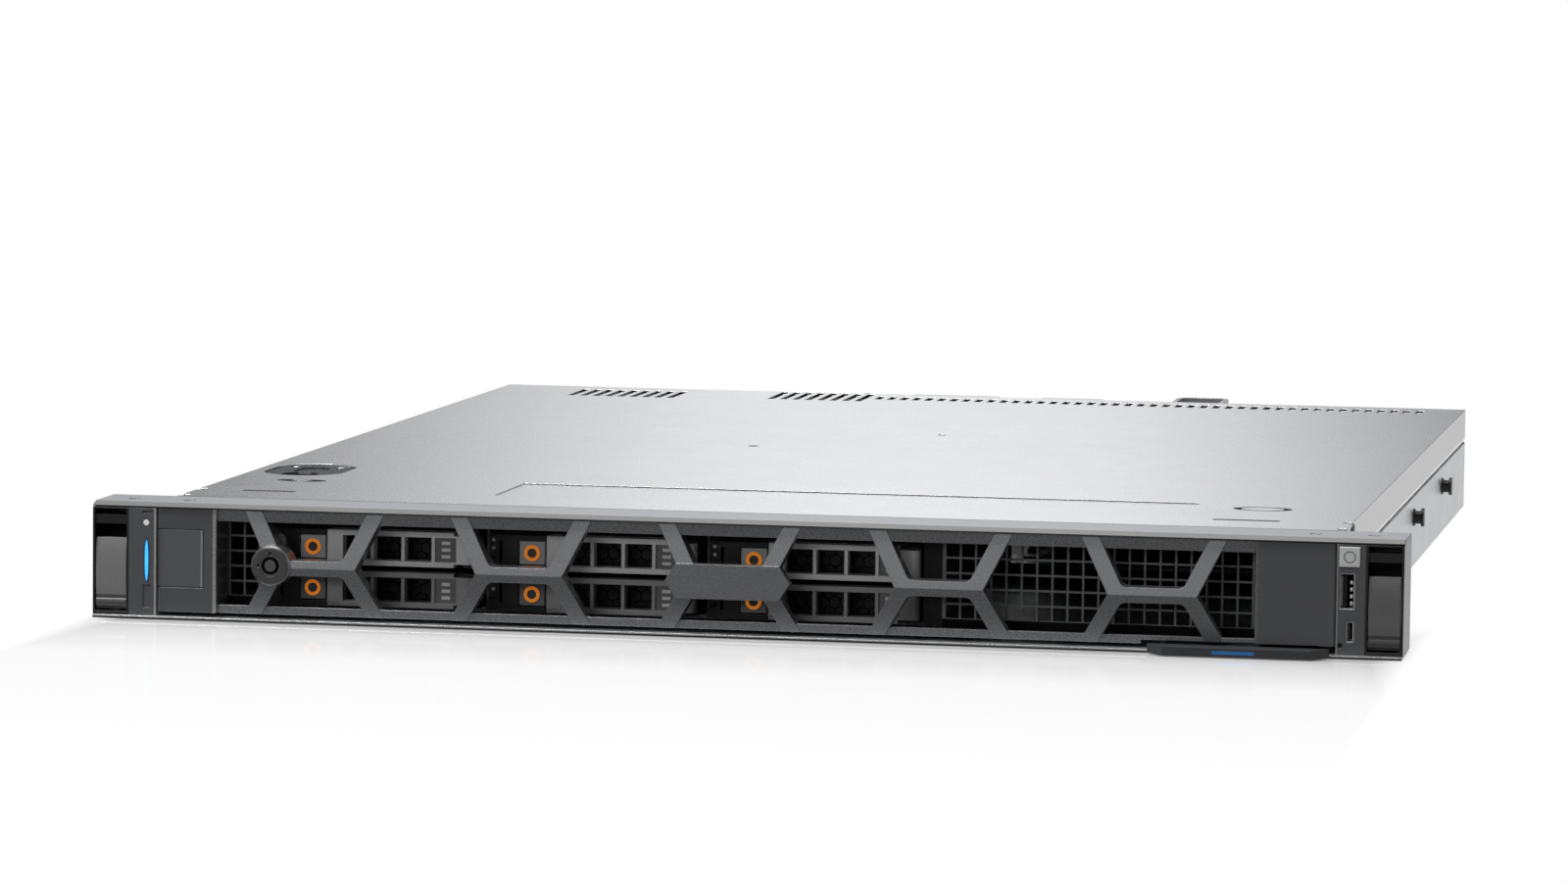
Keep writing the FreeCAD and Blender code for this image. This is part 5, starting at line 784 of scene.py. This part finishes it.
def front_pieces():
    """Nets and lenses of the carriers, contacts of the front socket, and rivets in the hood's dimples."""
    wire = finish("net_wire", tone(170, 172, 173), 0.36, metallic=0.5, edge=0.0001)
    lens = finish("pipe_lens", tone(206, 208, 208), 0.3, coat=0.4, edge=0.0001)
    for number in DRIVE_NUMBERS:
        body = f"drive_{number}"
        low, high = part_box(body)
        centre = (low[0] + NET_MIDDLE, low[1] + HANDLE_BACK, (low[2] + high[2]) / 2)
        grow(f"window_net_{number}", "net", [centre], wire, body, "carrier_metal",
             Columns=9, Rows=3, Pitch=NET_CELL, Bar=0.45 * MM, Thick=0.2 * MM)
        pipes = [(low[0] + PIPE_INSET, low[1] + PIPE_SINK, high[2] - drop) for drop in PIPE_DROPS]
        grow(f"light_pipes_{number}", "rivets", pipes, lens, body, "carrier_metal",
             Radius=0.75 * MM, Flat=0.5, Sides=12, Facing=FRONT)
    low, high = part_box("service_ports")
    pads = [(high[0] - 1.25 * MM, low[1] + 1.2 * MM, high[2] - 10.85 * MM)]
    face = finish("contact_face", tone(214), 0.3, metallic=0.3)
    grow("front_usb_contacts", "rows", pads, face, "chassis", "port_steel",
         Count=4, Step=(0.0, 0.0, 2.5 * MM), Size=(0.9 * MM, 2 * MM, 1.2 * MM))
    low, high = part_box("front_hood")
    dimples = [(side * (high[0] - inset), (low[1] + high[1]) / 2, high[2] - DIMPLE_DROP)
               for side in (-1, 1) for inset in DIMPLE_INSETS]
    grow("hood_rivets", "rivets", dimples, PLATED, "chassis", "screw_steel",
         Radius=1.9 * MM, Flat=0.17, Sides=20, Facing=UP)


def rear_pieces():
    """Contacts in the sockets and screws on the rear panel."""
    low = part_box("rear_ports")[0]
    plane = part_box("top_cover")[1][1]
    network = [(low[0] + NETWORK_INSET + NETWORK_PITCH * i, plane - 8 * MM, low[2] + NETWORK_RISE)
               for i in range(2)]
    grow("network_contacts", "rows", network, GOLD, "chassis", "port_steel",
         Count=8, Step=(1.02 * MM, 0.0, 0.0), Size=(0.4 * MM, 8 * MM, 0.3 * MM))
    stacked = [(low[0] + USB_INSET, plane - 7 * MM, low[2] + rise) for rise in USB_RISES]
    grow("usb_contacts", "rows", stacked, GOLD, "chassis", "port_steel",
         Count=4, Step=(2 * MM, 0.0, 0.0), Size=(1 * MM, 8 * MM, 0.16 * MM))
    display = [(low[0] + PIN_INSET + PIN_STEP * i, plane - 2 * MM, low[2] + PIN_RISE + PIN_PITCH * i)
               for i in range(3)]
    grow("display_contacts", "rows", display, CHIP, "chassis", "port_steel",
         Count=5, Step=(2.2 * MM, 0.0, 0.0), Size=(1 * MM, 0.5 * MM, 1 * MM))
    screws = [(x * MM, plane + 0.7 * MM, z * MM) for x, z in PANEL_SCREW_PLACES]
    grow("panel_screws", "screws", screws, PLATED, "chassis", "screw_steel",
         Radius=2.3 * MM, Height=1.4 * MM, Socket=0.5, Sides=24, Facing=REAR)


def inner_pieces():
    """Packages and cans on the main board, and the heatsink's screws."""
    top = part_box("motherboard")[1][2]
    corners, faces = [], []
    for left, right, front, rear in CHIP_FIELDS:
        faces.append(tuple(range(len(corners), len(corners) + 4)))
        corners += [(x * MM, y * MM, top)
                    for x, y in ((left, front), (right, front), (right, rear), (left, rear))]
    grow("board_packages", "chips", corners, CHIP, "chassis", "component_black", faces=faces,
         Density=14000.0, Spacing=5 * MM, Seed=11, Smallest=(1 * MM, 1.4 * MM, 1 * MM),
         Largest=(5 * MM, 5 * MM, 2.4 * MM))
    cans = [(x * MM, y * MM, top + CAN_HEIGHT / 2) for x in CAN_COLUMNS for y in CAN_ROWS]
    sleeve = finish("can_sleeve", tone(150, 152, 156), 0.3, metallic=0.8)
    grow("board_cans", "cans", cans, sleeve, "chassis", "component_black",
         Radius=3.2 * MM, Height=CAN_HEIGHT, Sides=20)
    low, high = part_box("heatsink")
    posts = [(x, y, low[2] + POST_RISE) for x in (low[0] + POST_INSET, high[0] - POST_INSET)
             for y in (low[1] + POST_INSET, high[1] - POST_INSET)]
    grow("sink_screws", "screws", posts, PLATED, "chassis", "screw_steel",
         Radius=2.9 * MM, Height=1.4 * MM, Socket=0.5, Sides=20, Facing=UP)


# ---------------------------------------------------------------- studio
CAMERA_PLACE = (0.43547, -2.59983, 0.27459)
CAMERA_YAW, CAMERA_PITCH, CAMERA_ROLL = -0.1804, -0.0866, 0.0122    # radians: right, up, clockwise
LENS = 149.31                                                       # millimetres on a 36 mm sensor
SIDEWAYS = (math.cos(CAMERA_YAW), -math.sin(CAMERA_YAW), 0.0)       # level, square to the camera's aim
WORLD_LIGHT = 0.15                                                  # level of the world on matt surfaces

# What gloss sees of the world. A change runs from one component of a direction to another, and the next
# two values are the levels there.
RIGHT_FLAG, LEFT_FLAG = (0.05, 0.12, 1.0, 0.02), (-0.085, -0.01, 0.05, 1.0)
OPEN_SIDES = (0.3, 0.6, 0.0, 0.75)
CEILING = (0.3, 0.6)
CEILING_RIGHT, CEILING_LEFT = (0.03, 0.22, 0.75, 0.1), (-0.3, -0.05, 0.2, 0.75)
DRAPE = (-0.75, -0.2, 0.2, 1.0)
CARD_FACING, CARD_FOOT, CARD_HEAD = -0.4, (0.1, 0.18), (0.28, 0.4, 1.0, 0.0)

# The floor.
FLOOR_HALF, FLOOR_DROP = 30.0, 0.3 * MM                             # the drop clears the pan's own underside
FLOOR_BOUNCE, FLOOR_ROUGHNESS = 0.1, 0.06
CONTACT_SHARE, MIRROR_SHARE = 0.08, 0.82                            # shares of plain white in front
CONTACT_REACH, MIRROR_REACH = 0.09, 0.3
SIDE_GLOW, GLOW_DEPTHS = 0.8, (-0.33, -0.27)
WHITE_DEPTHS, WHITE_MARGINS = (-0.3, -0.2), (-12 * MM, 3 * MM)


def camera():
    data = bpy.data.cameras.new("camera")
    data.lens, data.sensor_width, data.clip_end = LENS, 36.0, 60.0
    eye = bpy.data.objects.new("camera", data)
    bpy.context.scene.collection.objects.link(eye)
    ahead = Vector((math.sin(CAMERA_YAW) * math.cos(CAMERA_PITCH),
                    math.cos(CAMERA_YAW) * math.cos(CAMERA_PITCH), math.sin(CAMERA_PITCH)))
    level = Vector(SIDEWAYS)
    above = level.cross(ahead)
    right = level * math.cos(CAMERA_ROLL) + above * math.sin(CAMERA_ROLL)
    up = above * math.cos(CAMERA_ROLL) - level * math.sin(CAMERA_ROLL)
    turn = Matrix((right, up, -ahead)).transposed().to_4x4()
    eye.matrix_world = Matrix.Translation(CAMERA_PLACE) @ turn
    bpy.context.scene.camera = eye


def softbox(name, place, aim, size, power, mirrored=True):
    data = bpy.data.lights.new(name, "AREA")
    data.shape, data.size, data.size_y, data.energy = "RECTANGLE", size[0], size[1], power
    lamp = bpy.data.objects.new(name, data)
    lamp.visible_camera, lamp.visible_glossy = False, mirrored
    bpy.context.scene.collection.objects.link(lamp)
    way = Vector(aim) - Vector(place)
    lamp.matrix_world = Matrix.Translation(place) @ way.to_track_quat("-Z", "Y").to_matrix().to_4x4()


def backdrop_level(build):
    """Low down a white backdrop between two grey flags, a card in front, and pale grey elsewhere."""
    way = build.add("ShaderNodeTexCoord").outputs["Generated"]
    side = build.vector("DOT_PRODUCT", way, SIDEWAYS)
    _, back, up = build.axes(way)[:3]
    flags = build.math("MINIMUM", build.ramp(side, *RIGHT_FLAG), build.ramp(side, *LEFT_FLAG))
    low_band = build.math("MAXIMUM", flags, build.ramp(build.math("ABSOLUTE", side), *OPEN_SIDES))
    high = build.ramp(up, *CEILING)
    wide = build.math("MINIMUM", build.ramp(side, *CEILING_RIGHT), build.ramp(side, *CEILING_LEFT))
    level = build.math("ADD", build.math("MULTIPLY", low_band, build.math("SUBTRACT", 1.0, high)),
                       build.math("MULTIPLY", high, wide))
    rise = build.math("MULTIPLY", build.math("LESS_THAN", back, CARD_FACING), build.ramp(up, *CARD_FOOT))
    card = build.math("MULTIPLY", rise, build.ramp(up, *CARD_HEAD))
    return build.math("MAXIMUM", build.math("MULTIPLY", level, build.ramp(back, *DRAPE)), card)


def studio():
    """White world with flags in its reflections, three softboxes and a pale polished floor."""
    world = bpy.data.worlds.new("studio")
    bpy.context.scene.world = world
    world.use_nodes = True
    build = Tree(world.node_tree)
    back = world.node_tree.nodes["Background"]
    path = build.add("ShaderNodeLightPath").outputs
    seen = build.math("MAXIMUM", path["Is Camera Ray"], path["Is Transmission Ray"])
    glossy = build.math("MULTIPLY", path["Is Glossy Ray"], backdrop_level(build))
    plain = build.math("MULTIPLY", build.math("SUBTRACT", 1.0, path["Is Glossy Ray"]), WORLD_LIGHT)
    back.inputs["Color"].default_value = (1, 1, 1, 1)
    build.put(back.inputs["Strength"], build.math("MAXIMUM", seen, build.math("ADD", glossy, plain)))
    softbox("overhead", (-0.1, 0.1, 1.9), (0, 0, 0), (1.6, 1.6), 34.0)
    softbox("front_low", (-0.5, -2.3, 0.52), (0, -0.3, 0.02), (1.0, 0.3), 6.0, mirrored=False)
    softbox("front_high", (-0.9, -1.2, 2.0), (0, -0.3, 0), (1.1, 0.5), 34.0)
    floor()


def floor_white_share(build, path):
    """Share of plain white on the floor: little under the server, more away from it, all of it behind."""
    place = object_place(build)
    across, depth = build.axes(place)[:2]
    low, high = CAD_BOX
    half = [(high[axis] - low[axis]) / 2 for axis in range(2)]
    beyond = build.vector("SUBTRACT", build.vector("ABSOLUTE", place), (*half, 0.0))
    away = build.vector("LENGTH", build.vector("MAXIMUM", beyond, (0.0, 0.0, 0.0)))
    near = build.math("ADD", build.ramp(away, 0.0, CONTACT_REACH, CONTACT_SHARE, MIRROR_SHARE),
                      build.ramp(away, CONTACT_REACH, MIRROR_REACH, 0.0, 1.0 - MIRROR_SHARE))
    ends = build.ramp(build.math("ABSOLUTE", across), *(half[0] + margin for margin in WHITE_MARGINS))
    share = build.math("MAXIMUM", near, build.math("MAXIMUM", build.ramp(depth, *WHITE_DEPTHS), ends))
    shown = build.math("MAXIMUM", path["Is Camera Ray"], path["Is Transmission Ray"])
    glow = build.math("MULTIPLY", path["Is Glossy Ray"], build.ramp(depth, *GLOW_DEPTHS, 0.0, SIDE_GLOW))
    return build.math("MAXIMUM", build.math("MULTIPLY", shown, share), glow)


def floor():
    mesh = bpy.data.meshes.new("floor")
    corners = [(x * FLOOR_HALF, y * FLOOR_HALF, -FLOOR_DROP) for x, y in ((-1, -1), (1, -1), (1, 1), (-1, 1))]
    mesh.from_pydata(corners, [], [(0, 1, 2, 3)])
    ground = bpy.data.objects.new("floor", mesh)
    bpy.context.scene.collection.objects.link(ground)
    material = bpy.data.materials.new("floor_white")
    material.use_nodes = True
    nodes = material.node_tree.nodes
    build = Tree(material.node_tree)
    shader = nodes["Principled BSDF"]
    path = build.add("ShaderNodeLightPath").outputs
    bounce = (FLOOR_BOUNCE, FLOOR_BOUNCE, FLOOR_BOUNCE, 1.0)
    build.put(shader.inputs["Base Color"], build.mix(path["Is Camera Ray"], bounce, tone(250)))
    shader.inputs["Roughness"].default_value = FLOOR_ROUGHNESS
    white = build.add("ShaderNodeEmission", {"Strength": 1.0}).outputs[0]
    share = floor_white_share(build, path)
    mixed = build.add("ShaderNodeMixShader", {0: share, 1: shader.outputs[0], 2: white})
    build.put(nodes["Material Output"].inputs["Surface"], mixed.outputs[0])
    mesh.materials.append(material)
    return ground


bpy.context.scene.view_settings.view_transform = "Standard"
cover_finish()
sheet_finishes()
bezel_finishes()
ear_finishes()
drive_finishes()
inner_finishes()
rear_finishes()
front_pieces()
rear_pieces()
inner_pieces()
camera()
studio()
